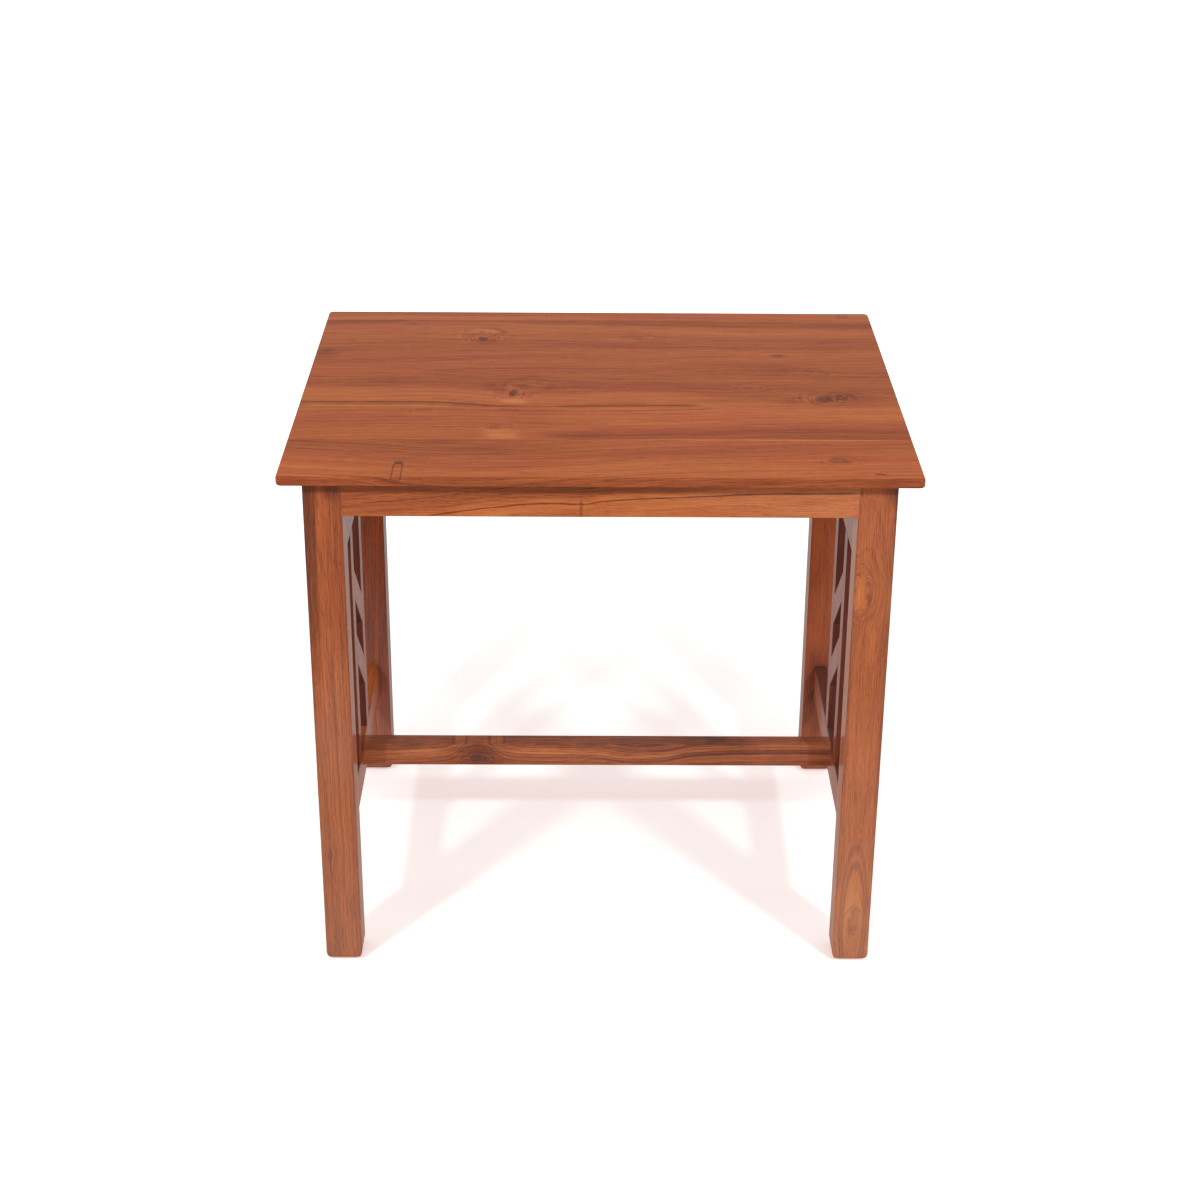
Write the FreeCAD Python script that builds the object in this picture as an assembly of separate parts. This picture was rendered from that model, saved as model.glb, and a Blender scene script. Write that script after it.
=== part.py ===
import FreeCAD, Part
import math
import os

# A solid wood dining table: a six-board top on four square legs, a low frame of rails at each
# side with slats and slanting rungs, and one stretcher between the two sides.
# Millimetres. The origin is on the floor under the middle of the top, X runs from left to
# right along the long side, Y runs from front to back and Z runs up.

# The whole table
WIDTH = 833.0
DEPTH = 679.0
HEIGHT = 762.0

# The top
TOP_THICK = 13.0
TOP_CORNER_RADIUS = 8.0
TOP_EDGE_RADIUS = 3.0
BOARD_WIDTHS = (135.5, 124.0, 132.0, 111.0, 134.0)  # from the front; the last board is the rest

# The legs
LEG = 51.0
SIDE_OVERHANG = 28.5
END_OVERHANG = 39.0
LEG_ARRIS_RADIUS = 3.0
FOOT_SIDE_RADIUS = 11.0  # of the bottom edges at the left and right of each foot
FOOT_END_RADIUS = 5.0  # of those at its front and back

# The glides under the legs
GLIDE_THICK = 2.0
GLIDE_DIAMETER = 26.0
GLIDE_EDGE_RADIUS = 1.2
GLIDE_NAIL_DIAMETER = 2.6
GLIDE_NAIL_LENGTH = 15.0

# The long aprons, front and back
APRON_HEIGHT = 58.0
APRON_THICK = 22.0
RAIL_ARRIS_RADIUS = 2.0

# The side frames
FRAME_THICK = 18.0
BOTTOM_RAIL_LOW = 138.0
RAIL_HEIGHT = 57.0
MID_RAIL_LOW = 565.0
SLAT_WIDTH = 32.0
SLAT_GAP = 84.0
RUNG_WIDTH = 36.0
RUNG_SLOPE_DEG = 42.5
RUNG_CENTRES = {"upper": 435.0, "lower": 331.0}
FRAME_ARRIS_RADIUS = 1.5

# The stretcher
STRETCHER_WIDTH = 28.0
STRETCHER_HEIGHT = 37.0

# Stub tenons
TENON_THICK = 8.0
TENON_SHOULDER = 6.0
APRON_TENON_LENGTH = 22.0
RAIL_TENON_LENGTH = 20.0
SLAT_TENON_LENGTH = 10.0
SLAT_TENON_SHOULDER = 5.0
STRETCHER_TENON_LENGTH = 12.0
STRETCHER_TENON_THICK = 12.0

# The cleats that hold the top, and their screws
CLEAT = 20.0
CLEAT_END_GAP = 14.0
SCREW_LENGTH = 30.0
SCREW_DIAMETER = 4.0
SCREW_HEAD_DIAMETER = 8.0
SCREW_HEAD_DEPTH = 2.4
SCREW_TIP = 3.0
RECESS_WIDTH = 1.0
RECESS_SPAN = 4.4
RECESS_DEPTH = 1.6
LONG_CLEAT_TOP_SCREWS = (-230.0, 0.0, 230.0)
LONG_CLEAT_APRON_SCREWS = (-290.0, -115.0, 115.0, 290.0)
SIDE_CLEAT_TOP_SCREWS = (-222.0, -140.0, -14.0, 108.0, 222.0)
SIDE_CLEAT_APRON_SCREWS = (-180.0, 48.0, 180.0)

# The dowels of the rungs
DOWEL_DIAMETER = 6.0
DOWEL_LENGTH = 20.0

# Places that follow from the sizes above
UNDER_TOP = HEIGHT - TOP_THICK
LEG_OUT_X = WIDTH / 2 - SIDE_OVERHANG
LEG_IN_X = LEG_OUT_X - LEG
LEG_OUT_Y = DEPTH / 2 - END_OVERHANG
LEG_IN_Y = LEG_OUT_Y - LEG
APRON_LOW = UNDER_TOP - APRON_HEIGHT
FRAME_MID_X = (LEG_IN_X + LEG_OUT_X) / 2
FRAME_IN_X = FRAME_MID_X - FRAME_THICK / 2
FRAME_OUT_X = FRAME_MID_X + FRAME_THICK / 2
BOTTOM_RAIL_TOP = BOTTOM_RAIL_LOW + RAIL_HEIGHT
MID_RAIL_TOP = MID_RAIL_LOW + RAIL_HEIGHT
SLAT_IN_Y = SLAT_GAP / 2
SLAT_OUT_Y = SLAT_IN_Y + SLAT_WIDTH
APRON_IN_Y = LEG_OUT_Y - APRON_THICK
APRON_MID_Y = LEG_OUT_Y - APRON_THICK / 2
RUNG_DROP = SLAT_GAP / 2 * math.tan(math.radians(RUNG_SLOPE_DEG))

SIDES = {"left": -1, "right": 1}
ENDS = {"front": -1, "back": 1}
X_AXIS = FreeCAD.Vector(1, 0, 0)
Y_AXIS = FreeCAD.Vector(0, 1, 0)
Z_AXIS = FreeCAD.Vector(0, 0, 1)


def block(xs, ys, zs):
    """A box between two values on each axis, given in either order."""
    low = FreeCAD.Vector(min(xs), min(ys), min(zs))
    high = FreeCAD.Vector(max(xs), max(ys), max(zs))
    size = high - low
    return Part.makeBox(size.x, size.y, size.z, low)


def scaled(factor, values):
    """The values times a factor, used to turn a place to the left or the front."""
    return tuple(factor * value for value in values)


def edges_along(shape, direction, wanted=None):
    """The straight edges of a shape that run in a direction, and whose middle is wanted."""
    found = []
    for edge in shape.Edges:
        ends = edge.Vertexes
        if len(ends) != 2:
            continue
        run = ends[1].Point - ends[0].Point
        parallel = run.cross(direction).Length < 1e-6 * run.Length
        middle = (ends[0].Point + ends[1].Point) * 0.5
        if parallel and (wanted is None or wanted(middle)):
            found.append(edge)
    return found


def eased(shape, radius, direction, wanted=None):
    """The shape with its edges in one direction rounded."""
    return shape.makeFillet(radius, edges_along(shape, direction, wanted))


def whole(first, *others):
    """One solid made of several that overlap or touch."""
    return first.multiFuse(list(others)).removeSplitter()


def hollowed(shape, *holes):
    """The shape less its mortises and bores."""
    return shape.cut(list(holes)) if holes else shape


# Mortises and tenons share these blocks, so each tenon fills its mortise.

def apron_tenon(side, end):
    """The tenon of a long apron in one leg."""
    ys = (end * APRON_MID_Y - TENON_THICK / 2, end * APRON_MID_Y + TENON_THICK / 2)
    xs = scaled(side, (LEG_IN_X, LEG_IN_X + APRON_TENON_LENGTH))
    return block(xs, ys, (APRON_LOW + TENON_SHOULDER, UNDER_TOP - TENON_SHOULDER))


def frame_tenon(side, end, low, high):
    """The tenon of a rail of the side frame in one leg."""
    xs = scaled(side, (FRAME_MID_X - TENON_THICK / 2, FRAME_MID_X + TENON_THICK / 2))
    ys = scaled(end, (LEG_IN_Y, LEG_IN_Y + RAIL_TENON_LENGTH))
    return block(xs, ys, (low + TENON_SHOULDER, high - TENON_SHOULDER))


def slat_tenon(side, end, rail_face, direction):
    """The tenon of a slat in the rail whose face is given; direction is 1 up, -1 down."""
    xs = scaled(side, (FRAME_MID_X - TENON_THICK / 2, FRAME_MID_X + TENON_THICK / 2))
    ys = scaled(end, (SLAT_IN_Y + SLAT_TENON_SHOULDER, SLAT_OUT_Y - SLAT_TENON_SHOULDER))
    return block(xs, ys, (rail_face, rail_face + direction * SLAT_TENON_LENGTH))


def stretcher_tenon(side):
    """The tenon of the stretcher in the bottom rail of one side."""
    xs = scaled(side, (FRAME_IN_X, FRAME_IN_X + STRETCHER_TENON_LENGTH))
    ys = (-STRETCHER_TENON_THICK / 2, STRETCHER_TENON_THICK / 2)
    zs = (BOTTOM_RAIL_TOP - STRETCHER_HEIGHT + TENON_SHOULDER, BOTTOM_RAIL_TOP - TENON_SHOULDER)
    return block(xs, ys, zs)


# Fasteners

def screw_outline(head, direction):
    """A countersunk screw with no recess; head is the middle of its flat face."""
    radius = SCREW_DIAMETER / 2
    points = [
        FreeCAD.Vector(0, 0, 0),
        FreeCAD.Vector(SCREW_HEAD_DIAMETER / 2, 0, 0),
        FreeCAD.Vector(radius, 0, SCREW_HEAD_DEPTH),
        FreeCAD.Vector(radius, 0, SCREW_LENGTH - SCREW_TIP),
        FreeCAD.Vector(0, 0, SCREW_LENGTH),
        FreeCAD.Vector(0, 0, 0),
    ]
    solid = Part.Face(Part.makePolygon(points)).revolve(FreeCAD.Vector(), Z_AXIS, 360)
    return placed(solid, head, direction)


def screw(head, direction):
    """A countersunk screw with a cross recess in its head."""
    half = RECESS_SPAN / 2
    slot = block((-half, half), (-RECESS_WIDTH / 2, RECESS_WIDTH / 2), (0, RECESS_DEPTH))
    cross = whole(slot, slot.rotated(FreeCAD.Vector(), Z_AXIS, 90))
    return screw_outline(head, direction).cut(placed(cross, head, direction))


def placed(shape, point, direction):
    """A shape made at the origin along +Z, turned to a direction and moved to a point."""
    turn = FreeCAD.Rotation(Z_AXIS, direction)
    return shape.transformed(FreeCAD.Placement(point, turn).toMatrix())


def top_screw_places():
    """The heads of the screws that run up through the cleats into the top."""
    height = UNDER_TOP - CLEAT
    places = []
    for sign in (-1, 1):
        for x in LONG_CLEAT_TOP_SCREWS:
            places.append(FreeCAD.Vector(x, sign * (APRON_IN_Y - CLEAT / 2), height))
        for y in SIDE_CLEAT_TOP_SCREWS:
            places.append(FreeCAD.Vector(sign * (FRAME_IN_X - CLEAT / 2), y, height))
    return places


def apron_screw_places():
    """The heads and directions of the screws that run through the cleats into the aprons."""
    height = UNDER_TOP - CLEAT / 2
    places = []
    for sign in (-1, 1):
        for x in LONG_CLEAT_APRON_SCREWS:
            places.append((FreeCAD.Vector(x, sign * (APRON_IN_Y - CLEAT), height), Y_AXIS * sign))
        for y in SIDE_CLEAT_APRON_SCREWS:
            places.append((FreeCAD.Vector(sign * (FRAME_IN_X - CLEAT), y, height), X_AXIS * sign))
    return places


def screw_bores():
    """The outlines of all the screws, cut from whatever they pass through."""
    bores = [screw_outline(place, Z_AXIS) for place in top_screw_places()]
    bores += [screw_outline(place, way) for place, way in apron_screw_places()]
    return bores


def bores_through(shape, bores):
    """The bores that reach into a shape."""
    return [bore for bore in bores if shape.BoundBox.intersect(bore.BoundBox)]


# The pieces

def top_boards(bores):
    """The glued boards of the top, from the front, cut from one slab with rounded edges."""
    slab = block((-WIDTH / 2, WIDTH / 2), (-DEPTH / 2, DEPTH / 2), (UNDER_TOP, HEIGHT))
    slab = eased(slab, TOP_CORNER_RADIUS, Z_AXIS)
    rim = [edge for edge in slab.Edges if edge.BoundBox.ZLength < 1e-6]
    slab = slab.makeFillet(TOP_EDGE_RADIUS, rim)
    front = -DEPTH / 2
    boards = {}
    for number, width in enumerate(BOARD_WIDTHS + (DEPTH - sum(BOARD_WIDTHS),), start=1):
        cut = block((-WIDTH / 2, WIDTH / 2), (front, front + width), (UNDER_TOP, HEIGHT))
        board = slab.common(cut)
        boards[f"top_board_{number}"] = hollowed(board, *bores_through(board, bores))
        front += width
    return boards


def leg(side, end):
    """A square leg, eased along its arrises and round its foot, with four mortises."""
    xs = scaled(side, (LEG_IN_X, LEG_OUT_X))
    ys = scaled(end, (LEG_IN_Y, LEG_OUT_Y))
    post = block(xs, ys, (GLIDE_THICK, UNDER_TOP))

    def at_foot(middle):
        return middle.z < GLIDE_THICK + 1

    shaft = eased(post, LEG_ARRIS_RADIUS, Z_AXIS)
    shaft = shaft.common(eased(post, FOOT_END_RADIUS, X_AXIS, at_foot))
    shaft = shaft.common(eased(post, FOOT_SIDE_RADIUS, Y_AXIS, at_foot))
    # The arris beside the long apron stays square, so that the joint closes.
    corner = block(
        scaled(side, (LEG_IN_X, LEG_IN_X + LEG_ARRIS_RADIUS)),
        scaled(end, (LEG_OUT_Y - LEG_ARRIS_RADIUS, LEG_OUT_Y)),
        (APRON_LOW, UNDER_TOP),
    )
    return hollowed(
        whole(shaft, corner),
        apron_tenon(side, end),
        frame_tenon(side, end, APRON_LOW, UNDER_TOP),
        frame_tenon(side, end, MID_RAIL_LOW, MID_RAIL_TOP),
        frame_tenon(side, end, BOTTOM_RAIL_LOW, BOTTOM_RAIL_TOP),
        glide(side, end),
    )


def glide(side, end):
    """A round plastic glide with the nail that holds it, one solid."""
    radius = GLIDE_DIAMETER / 2
    foot = Part.makeCylinder(radius, GLIDE_THICK)
    rim = [edge for edge in foot.Edges if edge.BoundBox.ZMax < 1e-6]
    foot = foot.makeFillet(GLIDE_EDGE_RADIUS, rim)
    nail = Part.makeCylinder(GLIDE_NAIL_DIAMETER / 2, GLIDE_THICK + GLIDE_NAIL_LENGTH)
    centre = FreeCAD.Vector(side * FRAME_MID_X, end * (LEG_IN_Y + LEG_OUT_Y) / 2, 0)
    return whole(foot, nail).translated(centre)


def long_apron(end, bores):
    """The apron at the front or the back, flush with the outer faces of the legs."""
    body = block(
        (-LEG_IN_X, LEG_IN_X), scaled(end, (APRON_IN_Y, LEG_OUT_Y)), (APRON_LOW, UNDER_TOP)
    )
    body = eased(body, RAIL_ARRIS_RADIUS, X_AXIS, lambda middle: middle.z < APRON_LOW + 1)
    body = whole(body, apron_tenon(-1, end), apron_tenon(1, end))
    return hollowed(body, *bores_through(body, bores))


def frame_rail(side, low, high, eased_above):
    """A rail of the side frame between the two legs, with a tenon at each end."""
    body = block(scaled(side, (FRAME_IN_X, FRAME_OUT_X)), (-LEG_IN_Y, LEG_IN_Y), (low, high))
    middle_height = (low + high) / 2
    body = eased(
        body, FRAME_ARRIS_RADIUS, Y_AXIS, lambda middle: eased_above or middle.z < middle_height
    )
    return whole(body, frame_tenon(side, -1, low, high), frame_tenon(side, 1, low, high))


def side_apron(side, bores):
    """The apron of one side, set in from the faces of the legs."""
    body = frame_rail(side, APRON_LOW, UNDER_TOP, eased_above=False)
    return hollowed(body, *bores_through(body, bores))


def mid_rail(side):
    """The rail above the slats."""
    body = frame_rail(side, MID_RAIL_LOW, MID_RAIL_TOP, eased_above=True)
    return hollowed(body, *(slat_tenon(side, end, MID_RAIL_LOW, 1) for end in (-1, 1)))


def bottom_rail(side):
    """The rail under the slats, which the stretcher joins too."""
    body = frame_rail(side, BOTTOM_RAIL_LOW, BOTTOM_RAIL_TOP, eased_above=True)
    slats = [slat_tenon(side, end, BOTTOM_RAIL_TOP, -1) for end in (-1, 1)]
    return hollowed(body, stretcher_tenon(side), *slats)


def rung_end(side, end, level):
    """The point where the middle line of a rung meets a slat; rungs fall towards the back."""
    height = RUNG_CENTRES[level] - end * RUNG_DROP
    return FreeCAD.Vector(side * FRAME_MID_X, end * SLAT_IN_Y, height)


def rung_dowel(side, end, level):
    """The dowel that joins one end of a rung to its slat, half in each."""
    start = rung_end(side, end, level) - Y_AXIS * (DOWEL_LENGTH / 2)
    return Part.makeCylinder(DOWEL_DIAMETER / 2, DOWEL_LENGTH, start, Y_AXIS)


def slat(side, end):
    """An upright slat with a tenon at each end and a bore for each rung's dowel."""
    body = block(
        scaled(side, (FRAME_IN_X, FRAME_OUT_X)),
        scaled(end, (SLAT_IN_Y, SLAT_OUT_Y)),
        (BOTTOM_RAIL_TOP, MID_RAIL_LOW),
    )
    body = eased(body, FRAME_ARRIS_RADIUS, Z_AXIS)
    body = whole(
        body,
        slat_tenon(side, end, MID_RAIL_LOW, 1),
        slat_tenon(side, end, BOTTOM_RAIL_TOP, -1),
    )
    return hollowed(body, *(rung_dowel(side, end, level) for level in RUNG_CENTRES))


def rung(side, level):
    """A slanting rung between the two slats, with its ends cut upright."""
    half = RUNG_WIDTH / 2 / math.cos(math.radians(RUNG_SLOPE_DEG))
    front = rung_end(side, -1, level)
    back = rung_end(side, 1, level)
    rise = Z_AXIS * half
    corners = [front - rise, back - rise, back + rise, front + rise, front - rise]
    shift = X_AXIS * (FRAME_THICK / 2)
    outline = Part.Face(Part.makePolygon([corner - shift for corner in corners]))
    body = outline.extrude(X_AXIS * FRAME_THICK)
    body = eased(body, FRAME_ARRIS_RADIUS, back - front)
    return hollowed(body, *(rung_dowel(side, end, level) for end in (-1, 1)))


def stretcher():
    """The long rail at mid-depth between the two bottom rails."""
    body = block(
        (-FRAME_IN_X, FRAME_IN_X),
        (-STRETCHER_WIDTH / 2, STRETCHER_WIDTH / 2),
        (BOTTOM_RAIL_TOP - STRETCHER_HEIGHT, BOTTOM_RAIL_TOP),
    )
    body = eased(body, RAIL_ARRIS_RADIUS, X_AXIS)
    return whole(body, stretcher_tenon(-1), stretcher_tenon(1))


def long_cleat(end, bores):
    """The batten behind the front or back apron."""
    half = LEG_IN_X - CLEAT_END_GAP
    ys = scaled(end, (APRON_IN_Y - CLEAT, APRON_IN_Y))
    body = block((-half, half), ys, (UNDER_TOP - CLEAT, UNDER_TOP))
    return hollowed(body, *bores_through(body, bores))


def side_cleat(side, bores):
    """The batten inside one side apron."""
    half = LEG_IN_Y - CLEAT_END_GAP
    xs = scaled(side, (FRAME_IN_X - CLEAT, FRAME_IN_X))
    body = block(xs, (-half, half), (UNDER_TOP - CLEAT, UNDER_TOP))
    return hollowed(body, *bores_through(body, bores))


def table():
    """Every piece of the table by the name of its node."""
    bores = screw_bores()
    pieces = top_boards(bores)
    for end_name, end in ENDS.items():
        for side_name, side in SIDES.items():
            pieces[f"leg_{end_name}_{side_name}"] = leg(side, end)
            pieces[f"foot_glide_{end_name}_{side_name}"] = glide(side, end)
        pieces[f"apron_{end_name}"] = long_apron(end, bores)
        pieces[f"cleat_{end_name}"] = long_cleat(end, bores)
    for side_name, side in SIDES.items():
        pieces[f"apron_{side_name}"] = side_apron(side, bores)
        pieces[f"cleat_{side_name}"] = side_cleat(side, bores)
        pieces[f"mid_rail_{side_name}"] = mid_rail(side)
        pieces[f"bottom_rail_{side_name}"] = bottom_rail(side)
        for end_name, end in ENDS.items():
            pieces[f"slat_{side_name}_{end_name}"] = slat(side, end)
        dowels = []
        for level in RUNG_CENTRES:
            pieces[f"rung_{side_name}_{level}"] = rung(side, level)
            dowels += [rung_dowel(side, end, level) for end in (-1, 1)]
        pieces[f"rung_dowels_{side_name}"] = Part.makeCompound(dowels)
    pieces["stretcher"] = stretcher()
    pieces["top_screws"] = Part.makeCompound(
        [screw(place, Z_AXIS) for place in top_screw_places()]
    )
    pieces["apron_screws"] = Part.makeCompound(
        [screw(place, way) for place, way in apron_screw_places()]
    )
    return pieces


def single(shape):
    """A piece of one solid without its compound wrapper; a group stays as it is."""
    return shape.Solids[0] if len(shape.Solids) == 1 else shape


os.makedirs("parts", exist_ok=True)
for name, piece in table().items():
    piece = single(piece)
    piece.exportStep(f"parts/{name}.step")
    box = piece.BoundBox
    print(
        f"{name}: {len(piece.Solids)} solid, valid {piece.isValid()}, "
        f"{piece.Volume / 1000:.1f} cm3, X {box.XMin:.1f} to {box.XMax:.1f}, "
        f"Y {box.YMin:.1f} to {box.YMax:.1f}, Z {box.ZMin:.1f} to {box.ZMax:.1f}"
    )
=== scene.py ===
"""Looks of a small teak dining table: solid wood figure, lacquer, fixings, light and camera.

Lengths are millimetres in the finishes and metres in the scene. X runs along the table's long
side, Y from its front to its back and Z up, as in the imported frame.
"""

import logging
import math
from dataclasses import dataclass, field
from enum import Enum
from itertools import repeat
from typing import Sequence

import bpy
from mathutils import Matrix, Vector


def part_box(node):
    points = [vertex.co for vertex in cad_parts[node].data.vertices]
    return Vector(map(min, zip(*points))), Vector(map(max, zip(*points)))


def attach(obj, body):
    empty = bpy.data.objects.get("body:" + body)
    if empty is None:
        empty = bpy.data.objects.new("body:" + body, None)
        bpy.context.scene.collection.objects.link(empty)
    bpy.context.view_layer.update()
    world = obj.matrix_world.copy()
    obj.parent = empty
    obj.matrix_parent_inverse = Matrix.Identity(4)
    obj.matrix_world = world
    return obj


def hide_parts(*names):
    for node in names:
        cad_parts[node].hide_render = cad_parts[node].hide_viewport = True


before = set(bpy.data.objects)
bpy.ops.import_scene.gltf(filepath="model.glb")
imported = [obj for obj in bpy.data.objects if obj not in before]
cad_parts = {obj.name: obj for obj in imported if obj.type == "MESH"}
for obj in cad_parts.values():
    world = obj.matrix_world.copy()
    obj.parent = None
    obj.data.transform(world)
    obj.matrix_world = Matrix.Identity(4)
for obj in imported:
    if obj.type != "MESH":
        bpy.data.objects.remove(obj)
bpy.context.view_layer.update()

LOG = logging.getLogger("dining_table")
MM = 0.001

ALONG_X = Vector((1, 0, 0))
ALONG_Y = Vector((0, 1, 0))
ALONG_Z = Vector((0, 0, 1))
WHITE = (1.0, 1.0, 1.0, 1.0)

# What several parts share: how far the legs and side frames stand from the middle, how the rungs
# fall to the back, and how high their middles are.
SIDE_MIDDLE = 362.5
RUNG_FALL = math.radians(42.5)
RUNG_CENTRES = (435.0, 331.0)

# A mark's usual outline: its corners, and how uneven it is.
ELLIPSE = 2.0
UNEVEN = 1.1

# Node types that are used often.
MATH = "ShaderNodeMath"
VECTORS = "ShaderNodeVectorMath"
RANGE = "ShaderNodeMapRange"
NOISE = "ShaderNodeTexNoise"
SPLIT = "ShaderNodeSeparateXYZ"
JOIN = "ShaderNodeCombineXYZ"
MIX = "ShaderNodeMix"
TEXTURE_PLACE = "ShaderNodeTexCoord"

# Settings that are used often.
SMOOTH = {"interpolation_type": "SMOOTHSTEP"}
COLOURS = {"data_type": "RGBA"}

Tree = bpy.types.NodeTree
Node = bpy.types.Node
Socket = bpy.types.NodeSocket
# What feeds an input: a socket, a node for its first output, or a number.
Source = Socket | Node | float


def linear(colour: str, alpha: float = 1.0) -> tuple[float, float, float, float]:
    """Turn an sRGB hex colour into linear light.

    Args:
        colour: The colour as six hex digits after a hash sign.
        alpha: The fourth channel.

    Returns:
        Red, green and blue in linear light, and alpha.
    """
    levels = [int(colour[start:start + 2], 16) / 255 for start in (1, 3, 5)]
    # The sRGB curve: straight in the dark, then a power.
    light = [level / 12.92 if level <= 0.04045 else ((level + 0.055) / 1.055) ** 2.4 for level in levels]
    return (light[0], light[1], light[2], alpha)


def wire(tree: Tree, node: Node, inputs: dict | tuple) -> None:
    """Link or set a node's inputs.

    Args:
        tree: The node tree.
        node: The node.
        inputs: Values, sockets or nodes by input name or number, or in the inputs' own order.
            A node gives its first output.
    """
    for key, value in inputs.items() if isinstance(inputs, dict) else enumerate(inputs):
        if isinstance(value, Node):
            value = value.outputs[0]
        if isinstance(value, Socket):
            tree.links.new(value, node.inputs[key])
        else:
            node.inputs[key].default_value = value


def add(tree: Tree, kind: str, inputs: dict | tuple = (), operation: str = "", **settings: object) -> Node:
    """Add one node with its settings and links.

    Args:
        tree: The node tree that gets the node.
        kind: The node's type name.
        inputs: What feeds it, as for wire.
        operation: What the node does, if it has a choice.
        settings: Its other properties.

    Returns:
        The new node.
    """
    node = tree.nodes.new(kind)
    if operation:
        node.operation = operation
    for name, value in settings.items():
        setattr(node, name, value)
    wire(tree, node, inputs)
    return node


def blank(owner: bpy.types.Material | bpy.types.World) -> Tree:
    """Give a material or world an empty node tree.

    Args:
        owner: The material or world.

    Returns:
        Its tree.
    """
    owner.use_nodes = True
    owner.node_tree.nodes.clear()
    return owner.node_tree


def stand(name: str, data: bpy.types.ID) -> bpy.types.Object:
    """Add an object to the scene.

    Args:
        name: The object's name.
        data: Its mesh, light or camera.

    Returns:
        The object.
    """
    made = bpy.data.objects.new(name, data)
    bpy.context.scene.collection.objects.link(made)
    return made


class Side(Enum):
    """The two sides of the table, by the sign of X."""

    LEFT = -1
    RIGHT = 1


class End(Enum):
    """The front and the back of the table, by the sign of Y."""

    FRONT = -1
    BACK = 1


@dataclass(frozen=True)
class Ramp:
    """Stops of a colour ramp, from low to high."""

    stops: tuple[tuple[float, str], ...]

    def follow(self, tree: Tree, value: Source) -> Socket:
        """Colour a value with these stops.

        Args:
            tree: The node tree.
            value: What the ramp runs over, 0 to 1.

        Returns:
            The colour.
        """
        node = add(tree, "ShaderNodeValToRGB", {"Fac": value})
        elements = node.color_ramp.elements
        while len(elements) > 1:
            elements.remove(elements[-1])
        for number, (place, colour) in enumerate(self.stops):
            element = elements[0] if number == 0 else elements.new(place)
            element.position = place
            element.color = linear(colour)
        return node.outputs["Color"]


@dataclass(frozen=True)
class Curve:
    """A smooth curve through points (place, height)."""

    points: tuple[tuple[float, float], ...]

    def follow(self, tree: Tree, value: Source) -> Node:
        """Read the curve's height at a value.

        Args:
            tree: The node tree.
            value: The place along the curve; beyond its ends the end heights hold.

        Returns:
            The height.
        """
        places, heights = zip(*self.points)
        bottom = min(heights)
        rise = max(heights) - bottom
        share = add(tree, RANGE, {"Value": value, "From Min": places[0], "From Max": places[-1]})
        node = add(tree, "ShaderNodeFloatCurve", {"Value": share})
        line = node.mapping.curves[0].points
        while len(line) < len(places):
            line.new(0.5, 0.5)
        for stop, place, height in zip(line, places, heights):
            stop.location = ((place - places[0]) / (places[-1] - places[0]), (height - bottom) / rise)
        node.mapping.update()
        return add(tree, MATH, (node, rise, bottom), "MULTIPLY_ADD")


@dataclass(frozen=True)
class Knot:
    """The end of a branch with the grain flowing round it, or a mark of that kind. Millimetres.

    Attributes:
        along: Its place along the grain.
        across: Its place across the grain.
        length: Half its size along the grain.
        width: Half its size across the grain.
        turn: How far it is turned, in degrees.
        heart: How dark it is inside.
        rim: How dark its outline is.
        swirl: How far out the grain bends round it.
        eddy: How strongly fine rings show round it.
        depth: How deep it goes below the show face.
        corner: 2 for an ellipse, more for a squarer outline.
        rough: How uneven its outline is.
        line: How broad its outline is, as a share of its size.
    """

    along: float
    across: float
    length: float
    width: float
    turn: float = 0.0
    heart: float = 0.0
    rim: float = 0.0
    swirl: float = 25.0
    eddy: float = 0.2
    depth: float = 60.0
    corner: float = ELLIPSE
    rough: float = UNEVEN
    line: float = 0.3


@dataclass(frozen=True)
class Vein:
    """A dark or light line that follows the grain. Millimetres; tone below 0 is darker."""

    across: float
    width: float
    tone: float
    start: float
    end: float
    fade: float = 30.0


@dataclass(frozen=True)
class Patch:
    """A soft stain or clearing in the figure. Millimetres; tone below 0 is darker, milk is pale tint,
    partly painted reflection.
    """

    along: float
    across: float
    length: float
    width: float
    tone: float
    turn: float = 0.0
    depth: float = 60.0
    pale_reflection: float = 0.0


@dataclass(frozen=True)
class Figure:
    """How one piece was cut from its log, which gives its grain. Millimetres.

    Attributes:
        seed: Tells one piece's random grain from another's.
        grain: The direction of the grain.
        across: The direction across the grain on the show face.
        origin: The point on the show face that places are measured from.
        pith: Where the log's middle lies, across the grain and above the show face.
        ring: Width of a growth ring.
        wander: How far the grain strays on its way along the piece.
        path: How far the grain has risen across the piece at places along it.
        near: Tone at places across the grain at the low end, from light 1 to dark -1.
        far: The same at the high end.
        ends: Where along the grain near and far hold.
        shade: Tone of the whole piece.
        ruddy: More red above 0, more golden below.
        contrast: Strength of the random figure.
        fleck: Strength of the short dark strokes.
        edge: Painted shade on the narrow faces, deep in the side frames' recesses, on a piece that marks
            them.
        pale_tint_and_reflection: Pale tint at the grain's start and from LacqueredTeak.tint_run on; on the
            legs a painted floor reflection.
        knots: The piece's knots.
        veins: Its lines.
        patches: Its stains and clearings.
    """

    seed: float
    grain: Vector
    across: Vector
    origin: Vector
    pith: tuple[float, float] = (140.0, -110.0)
    ring: float = 5.0
    wander: float = 6.0
    path: tuple[tuple[float, float], ...] = ()
    near: tuple[tuple[float, float], ...] = ()
    far: tuple[tuple[float, float], ...] = ()
    ends: tuple[float, float] = (-250.0, 250.0)
    shade: float = 0.0
    ruddy: float = 0.0
    contrast: float = 1.0
    fleck: float = 0.4
    edge: float = 0.0
    pale_tint_and_reflection: tuple[float, float] = (0.0, 0.0)
    knots: tuple[Knot, ...] = ()
    veins: tuple[Vein, ...] = ()
    patches: tuple[Patch, ...] = ()


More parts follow.
